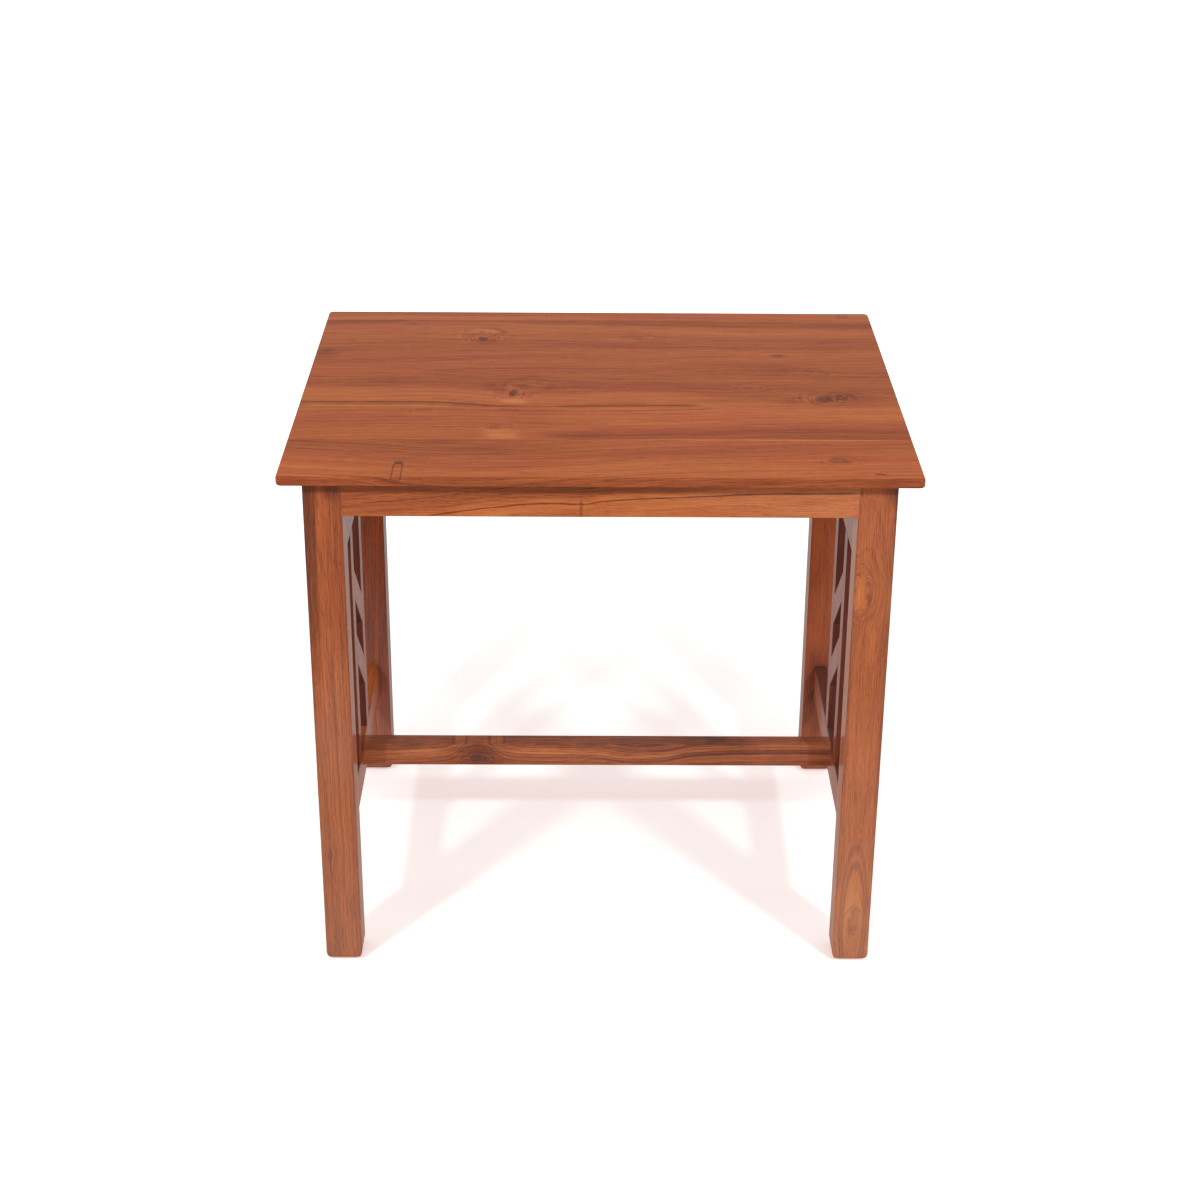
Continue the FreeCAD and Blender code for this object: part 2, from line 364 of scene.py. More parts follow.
class TeakGrain:
    """Node groups for the figure of teak, shared by all its pieces. Lengths are millimetres."""

    VECTOR_SOCKETS = ("Point", "Centre", "Squeeze", "Pith", "Shift")

    # Width and length of each kind of line or spot. Real fibres, strokes and pores are a few
    # tenths of a millimetre wide, too fine to show, so they are as coarse as the render needs.
    BROAD = (22.0, 800.0)
    STRIPE = (5.5, 330.0)
    STREAK = (2.4, 150.0)
    HUE = (44.0, 450.0)
    FIBRE = (1.1, 60.0)
    FLECK = (1.1, 15.0)
    PORE = (0.9, 14.0)

    # How each of them shows: where a noise counts as a spot, and its weight in the tone.
    FLECK_RANGE = (0.52, 0.72)
    PORE_RANGE = (0.62, 0.74)
    PORES_IN_RING = 0.12
    LINE_WEIGHTS = (0.5, 0.7, 1.0, 1.7)
    RING_WEIGHT = -0.22
    PORE_WEIGHT = -0.45

    # Growth rings: how far broad lines bend them and how narrow their dark part is.
    RING_BEND = 3.0
    RING_SHARPNESS = 5.0

    # Steps along, across and above the grain of its slow and quick straying, and the quick reach.
    SLOW_DRIFT = (0.0021, 0.008, 0.008)
    QUICK_DRIFT = (0.011, 0.05, 0.05)
    QUICK_REACH = 2.6
    NOISE_MEAN = (0.5, 0.5, 0.5)

    # Marks: where heart and softness begin and are full, and the rim's full part, as shares.
    HEART_RANGE = (1.15, 0.7)
    SOFT_RANGE = (1.1, 0.2)
    RIM_FULL = 0.17
    WOBBLE_SCALE = 1.4
    WOBBLE_PLANE = (1.0, 1.0, 0.0)

    # Flow round a knot: its reach each way, its fall-off, its pull, and the rings it draws.
    FLOW_REACH = (0.6, 1.0, 0.3)
    FLOW_FALL = -2.0
    FLOW_PULL = (0.0, -0.9, 0.0)
    EDDY_ARC = (0.03, 0.04, 0.02)
    EDDY_RINGS = 2.6
    EDDY_NOISE = (0.42, 0.62)
    EDDY_TONES = (0.6, -1.0)
    EDDY_RANGE = (1.3, 0.3)

    # How quickly a vein's width varies along it.
    VEIN_WAVES = 0.02

    def __init__(self) -> None:
        """Build the groups once."""
        self.mark = self._mark_group()
        self.flow = self._flow_group()
        self.vein = self._vein_group()
        self.figure = self._figure_group()

    @staticmethod
    def _open(name: str, inputs: str, outputs: str) -> tuple[Tree, dict[str, Socket]]:
        """Start a shader node group.

        Args:
            name: The group's name.
            inputs: Names of the inputs; those in VECTOR_SOCKETS are vectors, the rest numbers.
            outputs: Names of the outputs, likewise.

        Returns:
            The group's tree and the sockets of its input node.
        """
        tree = bpy.data.node_groups.new(name, "ShaderNodeTree")
        for way, labels in (("INPUT", inputs), ("OUTPUT", outputs)):
            for label in labels.split():
                kind = "NodeSocketVector" if label in TeakGrain.VECTOR_SOCKETS else "NodeSocketFloat"
                tree.interface.new_socket(label, in_out=way, socket_type=kind)
        return tree, tree.nodes.new("NodeGroupInput").outputs

    def _mark_group(self) -> Tree:
        """Build the group that outlines a knot or patch.

        Returns:
            The node group: Distance is 1 on the outline, Heart is 1 inside it, Rim 1 on it and
            Soft falls from 1 in the middle to 0 at the outline.
        """
        tree, given = self._open("teak mark", "Point Centre Squeeze Turn Corner Rough Line",
                                 "Distance Heart Rim Soft")
        offset = add(tree, VECTORS, (given["Point"], given["Centre"]), "SUBTRACT")
        turned = add(tree, "ShaderNodeVectorRotate", {"Vector": offset, "Angle": given["Turn"]},
                     rotation_type="Z_AXIS")
        scaled = add(tree, VECTORS, (turned, given["Squeeze"]), "MULTIPLY")
        seed = add(tree, VECTORS, (scaled, given["Centre"]), "ADD")
        wobble = add(tree, NOISE, {"Vector": seed, "Scale": self.WOBBLE_SCALE, "Detail": 3.0})
        wobble = wobble.outputs["Color"]
        wobble = add(tree, VECTORS, (wobble, self.NOISE_MEAN), "SUBTRACT")
        wobble = add(tree, VECTORS, {0: wobble, "Scale": given["Rough"]}, "SCALE")
        wobbled = add(tree, VECTORS, (wobble, self.WOBBLE_PLANE, scaled), "MULTIPLY_ADD")
        size = add(tree, VECTORS, (wobbled,), "ABSOLUTE")
        total: Source = 0.0
        for part in add(tree, SPLIT, (size,)).outputs:
            power = add(tree, MATH, (part, given["Corner"]), "POWER")
            total = add(tree, MATH, (power, total), "ADD")
        root = add(tree, MATH, (1.0, given["Corner"]), "DIVIDE")
        distance = add(tree, MATH, (total, root), "POWER")
        gap = add(tree, MATH, (distance, 1.0), "SUBTRACT")
        gap = add(tree, MATH, (gap,), "ABSOLUTE")
        full = add(tree, MATH, (given["Line"], self.RIM_FULL), "MULTIPLY")
        shown = {"Distance": distance}
        for label, value, start, end in (("Heart", distance, *self.HEART_RANGE),
                                         ("Soft", distance, *self.SOFT_RANGE),
                                         ("Rim", gap, given["Line"], full)):
            shown[label] = add(tree, RANGE, {"Value": value, "From Min": start, "From Max": end}, **SMOOTH)
        add(tree, "NodeGroupOutput", shown)
        return tree

    def _flow_group(self) -> Tree:
        """Build the group that bends the grain round a knot.

        Returns:
            The node group: Shift moves the point towards the knot's middle line, and Eddy is
            the strength of the rings round the knot.
        """
        tree, given = self._open("teak flow", "Point Centre Swirl Distance", "Shift Eddy")
        offset = add(tree, VECTORS, (given["Point"], given["Centre"]), "SUBTRACT")
        flat = add(tree, VECTORS, (offset, self.FLOW_REACH), "MULTIPLY")
        away = add(tree, VECTORS, (flat,), "LENGTH").outputs["Value"]
        away = add(tree, MATH, (away, given["Swirl"]), "DIVIDE")
        square = add(tree, MATH, (away, away, 1.0), "MULTIPLY_ADD")
        share = add(tree, MATH, (square, self.FLOW_FALL), "POWER")
        sideways = add(tree, VECTORS, (offset, self.FLOW_PULL), "MULTIPLY")
        shift = add(tree, VECTORS, {0: sideways, "Scale": share}, "SCALE")
        arc = add(tree, VECTORS, (given["Point"], self.EDDY_ARC), "MULTIPLY")
        place = add(tree, MATH, (given["Distance"], self.EDDY_RINGS), "MULTIPLY")
        lines = add(tree, NOISE, {"Vector": arc, "W": place, "Scale": 1.0, "Detail": 3.0},
                    noise_dimensions="4D").outputs["Fac"]
        low, high = self.EDDY_NOISE
        pale, dark = self.EDDY_TONES
        lines = add(tree, RANGE,
                    {"Value": lines, "From Min": low, "From Max": high, "To Min": pale, "To Max": dark})
        start, full = self.EDDY_RANGE
        near = add(tree, RANGE, {"Value": away, "From Min": start, "From Max": full}, **SMOOTH)
        eddy = add(tree, MATH, (lines, near), "MULTIPLY")
        add(tree, "NodeGroupOutput", {"Shift": shift, "Eddy": eddy})
        return tree

    def _vein_group(self) -> Tree:
        """Build the group that draws one line along the grain.

        Returns:
            The node group: Tone is the line's own tone where it runs and 0 elsewhere.
        """
        tree, given = self._open("teak vein", "Along Across Middle Width Strength Start End Fade", "Tone")
        seed = add(tree, MATH, (given["Along"], self.VEIN_WAVES, given["Middle"]), "MULTIPLY_ADD")
        rough = add(tree, NOISE, {"W": seed, "Scale": 1.0, "Detail": 3.0},
                    noise_dimensions="1D").outputs["Fac"]
        width = add(tree, MATH, (rough, given["Width"]), "MULTIPLY")
        gap = add(tree, MATH, (given["Across"], given["Middle"]), "SUBTRACT")
        gap = add(tree, MATH, (gap,), "ABSOLUTE")
        body = add(tree, RANGE, {"Value": gap, "From Min": width, "From Max": 0.0}, **SMOOTH)
        for edge, sign in (("Start", 1.0), ("End", -1.0)):
            inside = add(tree, MATH, (given["Along"], given[edge]), "SUBTRACT")
            inside = add(tree, MATH, (inside, sign), "MULTIPLY")
            run = add(tree, RANGE, {"Value": inside, "From Max": given["Fade"]}, **SMOOTH)
            body = add(tree, MATH, (body, run), "MULTIPLY")
        tone = add(tree, MATH, (body, given["Strength"]), "MULTIPLY")
        add(tree, "NodeGroupOutput", {"Tone": tone})
        return tree

    def _figure_group(self) -> Tree:
        """Build the group that gives the random figure of the wood at a point of the log.

        Returns:
            The node group: Tone runs from dark -1 to light 1, Pore is 1 in an open pore, Across
            is the place across the grain once it has strayed and Hue varies slowly.
        """
        tree, given = self._open("teak figure", "Point Rise Pith Ring Wander Seed Fleck",
                                 "Tone Pore Across Hue")
        point = given["Point"]
        strayed = point
        for step, reach in ((self.SLOW_DRIFT, given["Wander"]), (self.QUICK_DRIFT, self.QUICK_REACH)):
            place = add(tree, VECTORS, (point, step), "MULTIPLY")
            noise = add(tree, NOISE, {"Vector": place, "W": given["Seed"], "Scale": 1.0, "Detail": 2.0},
                        noise_dimensions="4D").outputs["Color"]
            noise = add(tree, VECTORS, (noise, self.NOISE_MEAN), "SUBTRACT")
            noise = add(tree, VECTORS, {0: noise, "Scale": reach}, "SCALE")
            strayed = add(tree, VECTORS, (strayed, noise), "ADD")
        parts = add(tree, SPLIT, (strayed,)).outputs
        length = add(tree, SPLIT, (point,)).outputs["X"]
        across = add(tree, MATH, (parts["Y"], given["Rise"]), "SUBTRACT")
        section = add(tree, JOIN, {"Y": across, "Z": parts["Z"]})
        spoke = add(tree, VECTORS, (section, given["Pith"]), "SUBTRACT")
        radius = add(tree, VECTORS, (spoke,), "LENGTH").outputs["Value"]
        log = add(tree, JOIN, {"X": length, "Y": radius, "Z": given["Seed"]})
        broad = self._lines(tree, log, self.BROAD, 1.0)
        turn = add(tree, MATH, (radius, given["Ring"]), "DIVIDE")
        turn = add(tree, MATH, (broad, self.RING_BEND, turn), "MULTIPLY_ADD")
        ring = add(tree, MATH, (turn,), "FRACT")
        ring = add(tree, MATH, (ring, self.RING_SHARPNESS), "POWER")
        stripe = self._lines(tree, log, self.STRIPE, 2.0)
        streak = self._lines(tree, log, self.STREAK, 2.0)
        fibre = self._lines(tree, point, self.FIBRE, 2.0, seeded=False)
        fleck = self._lines(tree, strayed, self.FLECK, 2.0, seeded=False)
        pore = self._lines(tree, strayed, self.PORE, 1.0, seeded=False)
        pore = add(tree, MATH, (ring, self.PORES_IN_RING, pore), "MULTIPLY_ADD")
        fleck, pore = (add(tree, RANGE, {"Value": spot, "From Min": start, "From Max": end})
                       for spot, (start, end) in ((fleck, self.FLECK_RANGE), (pore, self.PORE_RANGE)))
        tone: Source = 0.0
        for part, weight in zip((broad, stripe, streak, fibre), self.LINE_WEIGHTS):
            middle = add(tree, MATH, (part, 0.5), "SUBTRACT")
            tone = add(tree, MATH, (middle, weight, tone), "MULTIPLY_ADD")
        strokes = add(tree, MATH, (given["Fleck"], -1.0), "MULTIPLY")
        for part, weight in ((ring, self.RING_WEIGHT), (pore, self.PORE_WEIGHT), (fleck, strokes)):
            tone = add(tree, MATH, (part, weight, tone), "MULTIPLY_ADD")
        hue = self._lines(tree, log, self.HUE, 2.0)
        add(tree, "NodeGroupOutput", {"Tone": tone, "Pore": pore, "Across": across, "Hue": hue})
        return tree

    @staticmethod
    def _lines(tree: Tree, point: Source, size: tuple[float, float], detail: float,
               seeded: bool = True) -> Socket:
        """Make random lines or spots along the grain.

        Args:
            tree: The node tree.
            point: The place; X runs along the grain.
            size: Their width and length.
            detail: Octaves of finer lines in them.
            seeded: Whether the place's Z is a seed instead of a length.

        Returns:
            The lines, 0 to 1.
        """
        wide, long = size
        scale = (1 / long, 1 / wide, 1.0 if seeded else 1 / wide)
        place = add(tree, VECTORS, (point, scale), "MULTIPLY")
        return add(tree, NOISE, {"Vector": place, "Scale": 1.0, "Detail": detail}).outputs["Fac"]


@dataclass(frozen=True)
class LacqueredTeak:
    """Teak, planed, sanded and sprayed with a thin clear satin lacquer.

    The eye gets a warm red-brown with darker growth lines and streaks along the grain, a soft
    gleam, and a pale mirror image at grazing angles where the lacquer turns glossy.

    Attributes:
        name: The material's name.
        figure: The piece's own figure.
        grain: The shared node groups.
        golden: Colours of golden wood, from dark to light.
        ruddy: Colours of red wood, likewise.
        places: Where these colours lie from the darkest tone, 0, to the lightest, 1.
        heart: Colour inside a knot.
        pale_reflection: Colour of the pale tint, partly painted reflection of the bright floor.
        roughness: Roughness of the wood at its middle tone.
        specular: Gloss of the wood under the lacquer.
        coat: Weight of the lacquer.
        coat_ior: Its index of refraction.
        coat_roughness: Its roughness.
        sheen: How much smoother the lightest wood is than the darkest.
        grain_depth: Height of the relief for a tone of 1, in millimetres.
        bump: Strength of the relief.
        pore_depth: Depth of a pore, as a tone.
        tone_scale: How far a tone of 1 lies from the middle of the colours.
        hue_range: Where the slow noise turns the wood from golden to red.
        tint_run: How far along the grain the pale tint has its far strength, in millimetres.
    """

    name: str
    figure: Figure
    grain: TeakGrain
    golden: tuple[str, ...] = ("#56240f", "#89421c", "#ab5a2a", "#cf8447")
    ruddy: tuple[str, ...] = ("#521e0f", "#843b1d", "#a7522a", "#c97b49")
    places: tuple[float, ...] = (0.0, 0.3, 0.55, 1.0)
    heart: str = "#5a2a1c"
    pale_reflection: str = "#e6ddd5"
    roughness: float = 0.42
    specular: float = 0.01
    coat: float = 0.19
    coat_ior: float = 1.3
    coat_roughness: float = 0.13
    sheen: float = 0.1
    grain_depth: float = 0.06
    bump: float = 0.5
    pore_depth: float = -1.5
    tone_scale: float = 0.34
    hue_range: tuple[float, float] = (0.38, 0.62)
    tint_run: float = 450.0

    def material(self) -> bpy.types.Material:
        """Build the finish.

        Returns:
            The material.
        """
        made = bpy.data.materials.new(self.name)
        tree = blank(made)
        place = self._place(tree)
        point, marks, dark, pale_tint_and_reflection = self._knots(tree, place)
        grown = self._grown(tree, point)
        tone = self._tone(tree, place, grown)
        tone = add(tree, MATH, (tone, marks), "ADD")
        share = add(tree, MATH, (tone, self.tone_scale, 0.5), "MULTIPLY_ADD", use_clamp=True)
        golden = Ramp(tuple(zip(self.places, self.golden))).follow(tree, share)
        ruddy = Ramp(tuple(zip(self.places, self.ruddy))).follow(tree, share)
        low, high = self.hue_range
        hue = add(tree, RANGE, {"Value": grown["Hue"], "From Min": low, "From Max": high,
                                "To Min": self.figure.ruddy, "To Max": 1.0 + self.figure.ruddy})
        hue = add(tree, "ShaderNodeClamp", {"Value": hue})
        colour = add(tree, MIX, {0: hue, 6: golden, 7: ruddy}, **COLOURS).outputs[2]
        colour = add(tree, MIX, {0: dark, 6: colour, 7: linear(self.heart)}, **COLOURS).outputs[2]
        # Pale tint along the grain: on the legs it is painted reflection of the bright floor, strongest at
        # the foot; elsewhere it dulls the colour.
        low, high = self.figure.pale_tint_and_reflection
        along = add(tree, SPLIT, (place,)).outputs["X"]
        veil = add(tree, RANGE, {"Value": along, "From Max": self.tint_run, "To Min": low, "To Max": high})
        pale_tint_and_reflection = add(tree, MATH, (veil, pale_tint_and_reflection), "ADD")
        colour = add(tree, MIX, {0: pale_tint_and_reflection, 6: colour, 7: linear(self.pale_reflection)}, **COLOURS).outputs[2]
        height = add(tree, MATH, (grown["Pore"], self.pore_depth, tone), "MULTIPLY_ADD")
        bump = add(tree, "ShaderNodeBump",
                   {"Strength": self.bump, "Distance": self.grain_depth * MM, "Height": height})
        rough = add(tree, MATH, (share, -self.sheen, self.roughness + self.sheen / 2), "MULTIPLY_ADD")
        shader = add(tree, "ShaderNodeBsdfPrincipled",
                     {"Base Color": colour, "Roughness": rough, "Normal": bump, "Coat Weight": self.coat,
                      "Coat Roughness": self.coat_roughness, "Coat IOR": self.coat_ior,
                      "Specular IOR Level": self.specular})
        add(tree, "ShaderNodeOutputMaterial", {"Surface": shader})
        return made

    def _place(self, tree: Tree) -> Node:
        """Turn the object's coordinates into places on the figure.

        Args:
            tree: The material's node tree.

        Returns:
            Millimetres along, across and above the show face.
        """
        figure = self.figure
        above = figure.grain.cross(figure.across)
        turn = Matrix((figure.grain, figure.across, above))
        where = add(tree, TEXTURE_PLACE).outputs["Object"]
        return add(tree, "ShaderNodeMapping",
                   {"Vector": where, "Location": -(turn @ figure.origin), "Rotation": turn.to_euler(),
                    "Scale": (1 / MM, 1 / MM, 1 / MM)})

    def _knots(self, tree: Tree, place: Source) -> tuple[Source, ...]:
        """Bend the grain round the knots and mark knots and patches.

        Args:
            tree: The material's node tree.
            place: The point in millimetres.

        Returns:
            The point to read the figure at, the tone that patches and eddies add, how far the
            colour goes to that of a knot's heart, and the pale tint that patches add.
        """
        point = place
        tone: Source = 0.0
        dark: Source = 0.0
        pale_tint_and_reflection: Source = 0.0
        for mark in (*self.figure.knots, *self.figure.patches):
            shape = {"Centre": (mark.along, mark.across, 0.0), "Turn": math.radians(-mark.turn),
                     "Squeeze": (1 / mark.length, 1 / mark.width, 1 / mark.depth), "Point": place}
            if isinstance(mark, Patch):
                soft = add(tree, "ShaderNodeGroup", {**shape, "Corner": ELLIPSE, "Rough": UNEVEN},
                           node_tree=self.grain.mark).outputs["Soft"]
                tone = add(tree, MATH, (soft, mark.tone, tone), "MULTIPLY_ADD")
                # A patch can add pale tint too, partly painted reflection.
                pale_tint_and_reflection = add(tree, MATH, (soft, mark.pale_reflection, pale_tint_and_reflection), "MULTIPLY_ADD")
                continue
            outline = add(tree, "ShaderNodeGroup",
                          {**shape, "Corner": mark.corner, "Rough": mark.rough, "Line": mark.line},
                          node_tree=self.grain.mark).outputs
            flow = add(tree, "ShaderNodeGroup",
                       {"Point": place, "Centre": shape["Centre"], "Swirl": mark.swirl,
                        "Distance": outline["Distance"]}, node_tree=self.grain.flow).outputs
            point = add(tree, VECTORS, (point, flow["Shift"]), "ADD")
            tone = add(tree, MATH, (flow["Eddy"], mark.eddy, tone), "MULTIPLY_ADD")
            for part, strength in ((outline["Heart"], mark.heart), (outline["Rim"], mark.rim)):
                dark = add(tree, MATH, (part, strength, dark), "MULTIPLY_ADD", use_clamp=True)
        return point, tone, dark, pale_tint_and_reflection

    def _grown(self, tree: Tree, point: Source) -> dict[str, Socket]:
        """Read the random figure, with the grain on its path.

        Args:
            tree: The material's node tree.
            point: The point in millimetres, bent round the knots.

        Returns:
            The figure group's outputs.
        """
        figure = self.figure
        along = add(tree, SPLIT, (point,)).outputs["X"]
        rise = Curve(figure.path).follow(tree, along) if figure.path else 0.0
        return add(tree, "ShaderNodeGroup",
                   {"Point": point, "Rise": rise, "Pith": (0.0, *figure.pith), "Ring": figure.ring,
                    "Wander": 2 * figure.wander, "Seed": figure.seed, "Fleck": figure.fleck},
                   node_tree=self.grain.figure).outputs

    def _tone(self, tree: Tree, place: Source, grown: dict[str, Socket]) -> Node:
        """Add the piece's own bands and veins to the random figure.

        Args:
            tree: The material's node tree.
            place: The point in millimetres.
            grown: The figure group's outputs.

        Returns:
            The tone.
        """
        figure = self.figure
        along = add(tree, SPLIT, (place,)).outputs["X"]
        tone = add(tree, MATH, (grown["Tone"], figure.contrast, figure.shade), "MULTIPLY_ADD")
        # Painted shade: the narrow faces that the piece marks are darkened, because the side frames'
        # recesses lie in shadow.
        if figure.edge:
            painted_shade_share = add(tree, "ShaderNodeAttribute", attribute_name="edge").outputs["Fac"]
            tone = add(tree, MATH, (painted_shade_share, figure.edge, tone), "MULTIPLY_ADD")
        if figure.near:
            sides = [Curve(side).follow(tree, grown["Across"]) for side in (figure.near, figure.far)]
            low, high = figure.ends
            share = add(tree, RANGE, {"Value": along, "From Min": low, "From Max": high}, **SMOOTH)
            band = add(tree, MIX, {0: share, 2: sides[0], 3: sides[1]})
            tone = add(tree, MATH, (tone, band), "ADD")
        for vein in figure.veins:
            line = add(tree, "ShaderNodeGroup",
                       {"Along": along, "Across": grown["Across"], "Middle": vein.across,
                        "Width": 2 * vein.width, "Strength": vein.tone, "Start": vein.start,
                        "End": vein.end, "Fade": vein.fade}, node_tree=self.grain.vein).outputs["Tone"]
            tone = add(tree, MATH, (tone, line), "ADD")
        return tone


@dataclass
class TableTop:
    """The six glued boards of the top, each with its own figure. Millimetres."""

    height: float = 762.0

    def boards(self) -> tuple[Figure, ...]:
        """Describe the boards from front to back.

        Returns:
            One figure for each board, measured from the middle of the top face.
        """
        middle = Vector((0, 0, self.height))
        cut = (ALONG_X, ALONG_Y, middle)
        return (
            Figure(1.3, *cut, pith=(-520, -150), ruddy=-0.1,
                   path=((-416, 28), (-300, 12), (-200, 0), (-100, 1), (0, 13),
                         (100, 25), (200, 33), (416, 44)),
                   near=((-345, 0.1), (-320, 0.15), (-300, 0), (-280, -0.05), (-265, -0.15),
                         (-240, -0.25), (-215, -0.3), (-204, -0.2)),
                   far=((-380, -0.05), (-360, 0.2), (-335, 0.25), (-310, 0.1), (-290, -0.05),
                        (-275, -0.15), (-250, 0.05)),
                   ends=(-150, 60),
                   veins=(Vein(-238, 2.4, -0.45, -430, -130), Vein(-264, 2, -0.35, -430, -200),
                          Vein(-284, 2.2, -0.35, -430, -60)),
                   knots=(Knot(310, -275, 12, 10, turn=20, heart=0.45, rim=0.2, swirl=22, eddy=0.3),
                          Knot(360, -322, 9, 2.8, turn=-10, heart=0.9, swirl=8, eddy=0.1),
                          Knot(-262, -322, 6, 34, heart=0.05, rim=0.7, swirl=12, eddy=0.1, depth=4,
                               corner=4, rough=0.35),
                          Knot(-261, -290, 5, 2.6, heart=0.5, swirl=6, eddy=0.1, depth=4),
                          Knot(-12, -331, 12, 1.6, turn=8, heart=0.45, swirl=6, eddy=0)),
                   patches=(Patch(30, -285, 90, 20, 0.2), Patch(0, -342, 1500, 8, -0.62, pale_reflection=0.014))),
            Figure(2.1, *cut, pith=(-330, -120), ruddy=-0.15,
                   path=((-416, -14), (-330, 0), (-200, 4), (0, 2), (120, 8),
                         (250, 22), (416, 26)),
                   near=((-210, -0.05), (-190, 0.1), (-150, 0), (-120, 0), (-95, 0.1), (-80, 0.05)),
                   far=((-235, -0.2), (-212, -0.3), (-195, -0.3), (-178, -0.15), (-160, 0.05),
                        (-135, 0.3), (-105, 0.3)),
                   ends=(-120, 60),
                   veins=(Vein(-96, 2.2, -0.6, -140, 170), Vein(-101, 2, 0.4, -90, 190),
                          Vein(-120, 1.8, -0.4, -330, -120), Vein(-137, 1.8, -0.35, -420, -280)),
                   knots=(Knot(-140, -156, 8, 7, heart=0.1, rim=0.18, swirl=20, eddy=0.25),
                          Knot(-240, -100, 10, 6, heart=0.12, rim=0.15, swirl=16, eddy=0.35),
                          Knot(-124, -91, 14, 2.4, turn=-4, heart=0.5, swirl=10, eddy=0)),
                   patches=(Patch(-134, -188, 36, 26, 0.6), Patch(-30, -190, 60, 16, -0.35),
                            Patch(240, -202.5, 280, 4, 1))),
            Figure(3.7, *cut, pith=(-260, -120), ruddy=-0.1,
                   path=((-416, 2), (-300, 5), (-250, 6), (-200, 3), (-120, -6),
                         (-60, -8), (0, -6), (100, -5), (200, -8), (416, -8)),
                   near=((-82, 0.1), (-70, -0.05), (-60, 0), (-50, 0.3), (-30, 0.35), (-14, 0.2),
                         (-4, -0.1), (30, -0.2), (52, -0.1)),
                   far=((-82, 0.25), (-60, 0.2), (-45, -0.1), (-25, -0.15), (0, -0.15), (30, 0),
                        (52, -0.1)),
                   ends=(60, 200),
                   veins=(Vein(-66, 6, -0.9, -440, 150), Vein(-74, 2.2, -0.45, -440, -40),
                          Vein(-81.5, 4, 1, -440, -170, fade=60), Vein(2, 2.6, -0.55, -20, 190),
                          Vein(-7, 2, -0.35, -10, 130)),
                   knots=(Knot(-122, -27, 5.5, 14, turn=-8, heart=0.75, rim=0.2, swirl=26, eddy=0.45),
                          Knot(-110, 4, 30, 36, turn=-24, rim=0.14, swirl=34, eddy=0.4),
                          Knot(313, -43, 11, 13, heart=0.65, rim=0.2, swirl=30, eddy=0.5),
                          Knot(338, -34, 17, 22, turn=-30, heart=0.08, rim=0.12, swirl=26, eddy=0.15),
                          Knot(212, 0, 24, 17, turn=20, rim=0.08, swirl=22, eddy=0.25)),
                   patches=(Patch(-120, -58, 26, 14, 0.6), Patch(345, -36, 70, 42, -0.35),
                            Patch(268, -52, 30, 24, -0.25), Patch(-300, 28, 60, 18, -0.2),
                            Patch(-150, 5, 26, 30, -0.2))),
            Figure(4.9, *cut, pith=(330, -130), ruddy=0.1, shade=0.06,
                   path=((-416, -12), (-350, -10), (-90, 14), (0, 12), (200, 32), (416, 36)),
                   near=((52, -0.1), (80, 0), (110, 0), (135, -0.05), (163, -0.1)),
                   far=((20, -0.1), (45, -0.05), (70, 0.05), (100, 0.15), (130, 0.05)),
                   veins=(Vein(148, 1.8, -0.45, -360, -80), Vein(120, 1.6, -0.3, -420, -200),
                          Vein(66, 2.6, -0.45, -260, 40), Vein(123, 1.8, -0.3, 0, 110),
                          Vein(66, 2, -0.35, 130, 240)),
                   knots=(Knot(262, 138, 13, 8, heart=0.55, swirl=16, eddy=0.15),
                          Knot(246, 53, 26, 2.2, turn=1, heart=0.6, swirl=8, eddy=0),
                          Knot(296, 68, 34, 18, turn=-18, heart=0.05, rim=0.2, swirl=18, eddy=0.3)),
                   patches=(Patch(-402, 142, 26, 26, -0.4), Patch(250, 78, 90, 24, -0.3))),
            Figure(5.2, *cut, pith=(560, -160), ruddy=-0.05, shade=0.08,
                   path=((-416, -8), (-300, 1), (-200, 6), (-100, 0), (0, -6), (100, -10),
                         (416, -17)),
                   near=((163, -0.1), (185, -0.1), (205, 0), (230, 0.1), (262, 0.15), (276, 0),
                         (286, -0.35), (297, -0.45), (305, -0.2)),
                   far=((163, 0), (190, -0.1), (215, -0.05), (240, 0.1), (266, 0.2), (280, -0.2),
                        (292, -0.45), (302, -0.25), (314, 0.1)),
                   ends=(-200, 200),
                   veins=(Vein(172, 2.2, -0.4, -430, -320), Vein(182, 2.4, -0.4, -110, 60),
                          Vein(194, 2.2, -0.4, -90, 70), Vein(208, 2.4, -0.3, 290, 360),
                          Vein(252, 2.6, 0.35, 60, 320)),
                   knots=(Knot(-173, 208, 6.5, 9, turn=14, heart=0.7, rim=0.15, swirl=22, eddy=0.5),
                          Knot(-171, 236, 26, 33, rim=0.15, swirl=32, eddy=0.5),
                          Knot(70, 215, 22, 14, heart=0.05, rim=0.14, swirl=20, eddy=0.35),
                          Knot(-284, 283, 9, 7, heart=0.2, swirl=12, eddy=0.3)),
                   patches=(Patch(-170, 246, 18, 12, 0.5), Patch(-168, 196, 34, 20, -0.25))),
            Figure(6.4, *cut, pith=(520, -90), ruddy=0.05, shade=0.12,
                   path=((-416, -5), (-200, 0), (416, -12)),
                   near=((297, 0), (306, 0.45), (315, 0.3), (326, 0), (340, 0.1)),
                   far=((305, 0), (316, 0.1), (326, 0.2), (338, 0.45), (350, 0.3)),
                   knots=(Knot(375, 325, 10, 11, heart=0.25, rim=0.1, swirl=10),)),
        )

    def dress(self, grain: TeakGrain) -> list[str]:
        """Give each board its finish.

        Args:
            grain: The shared node groups.

        Returns:
            The boards' nodes.
        """
        boards = {f"top_board_{number}": figure for number, figure in enumerate(self.boards(), start=1)}
        for node, figure in boards.items():
            give(node, LacqueredTeak(f"teak of {node.replace('_', ' ')}", figure, grain).material())
        return list(boards)


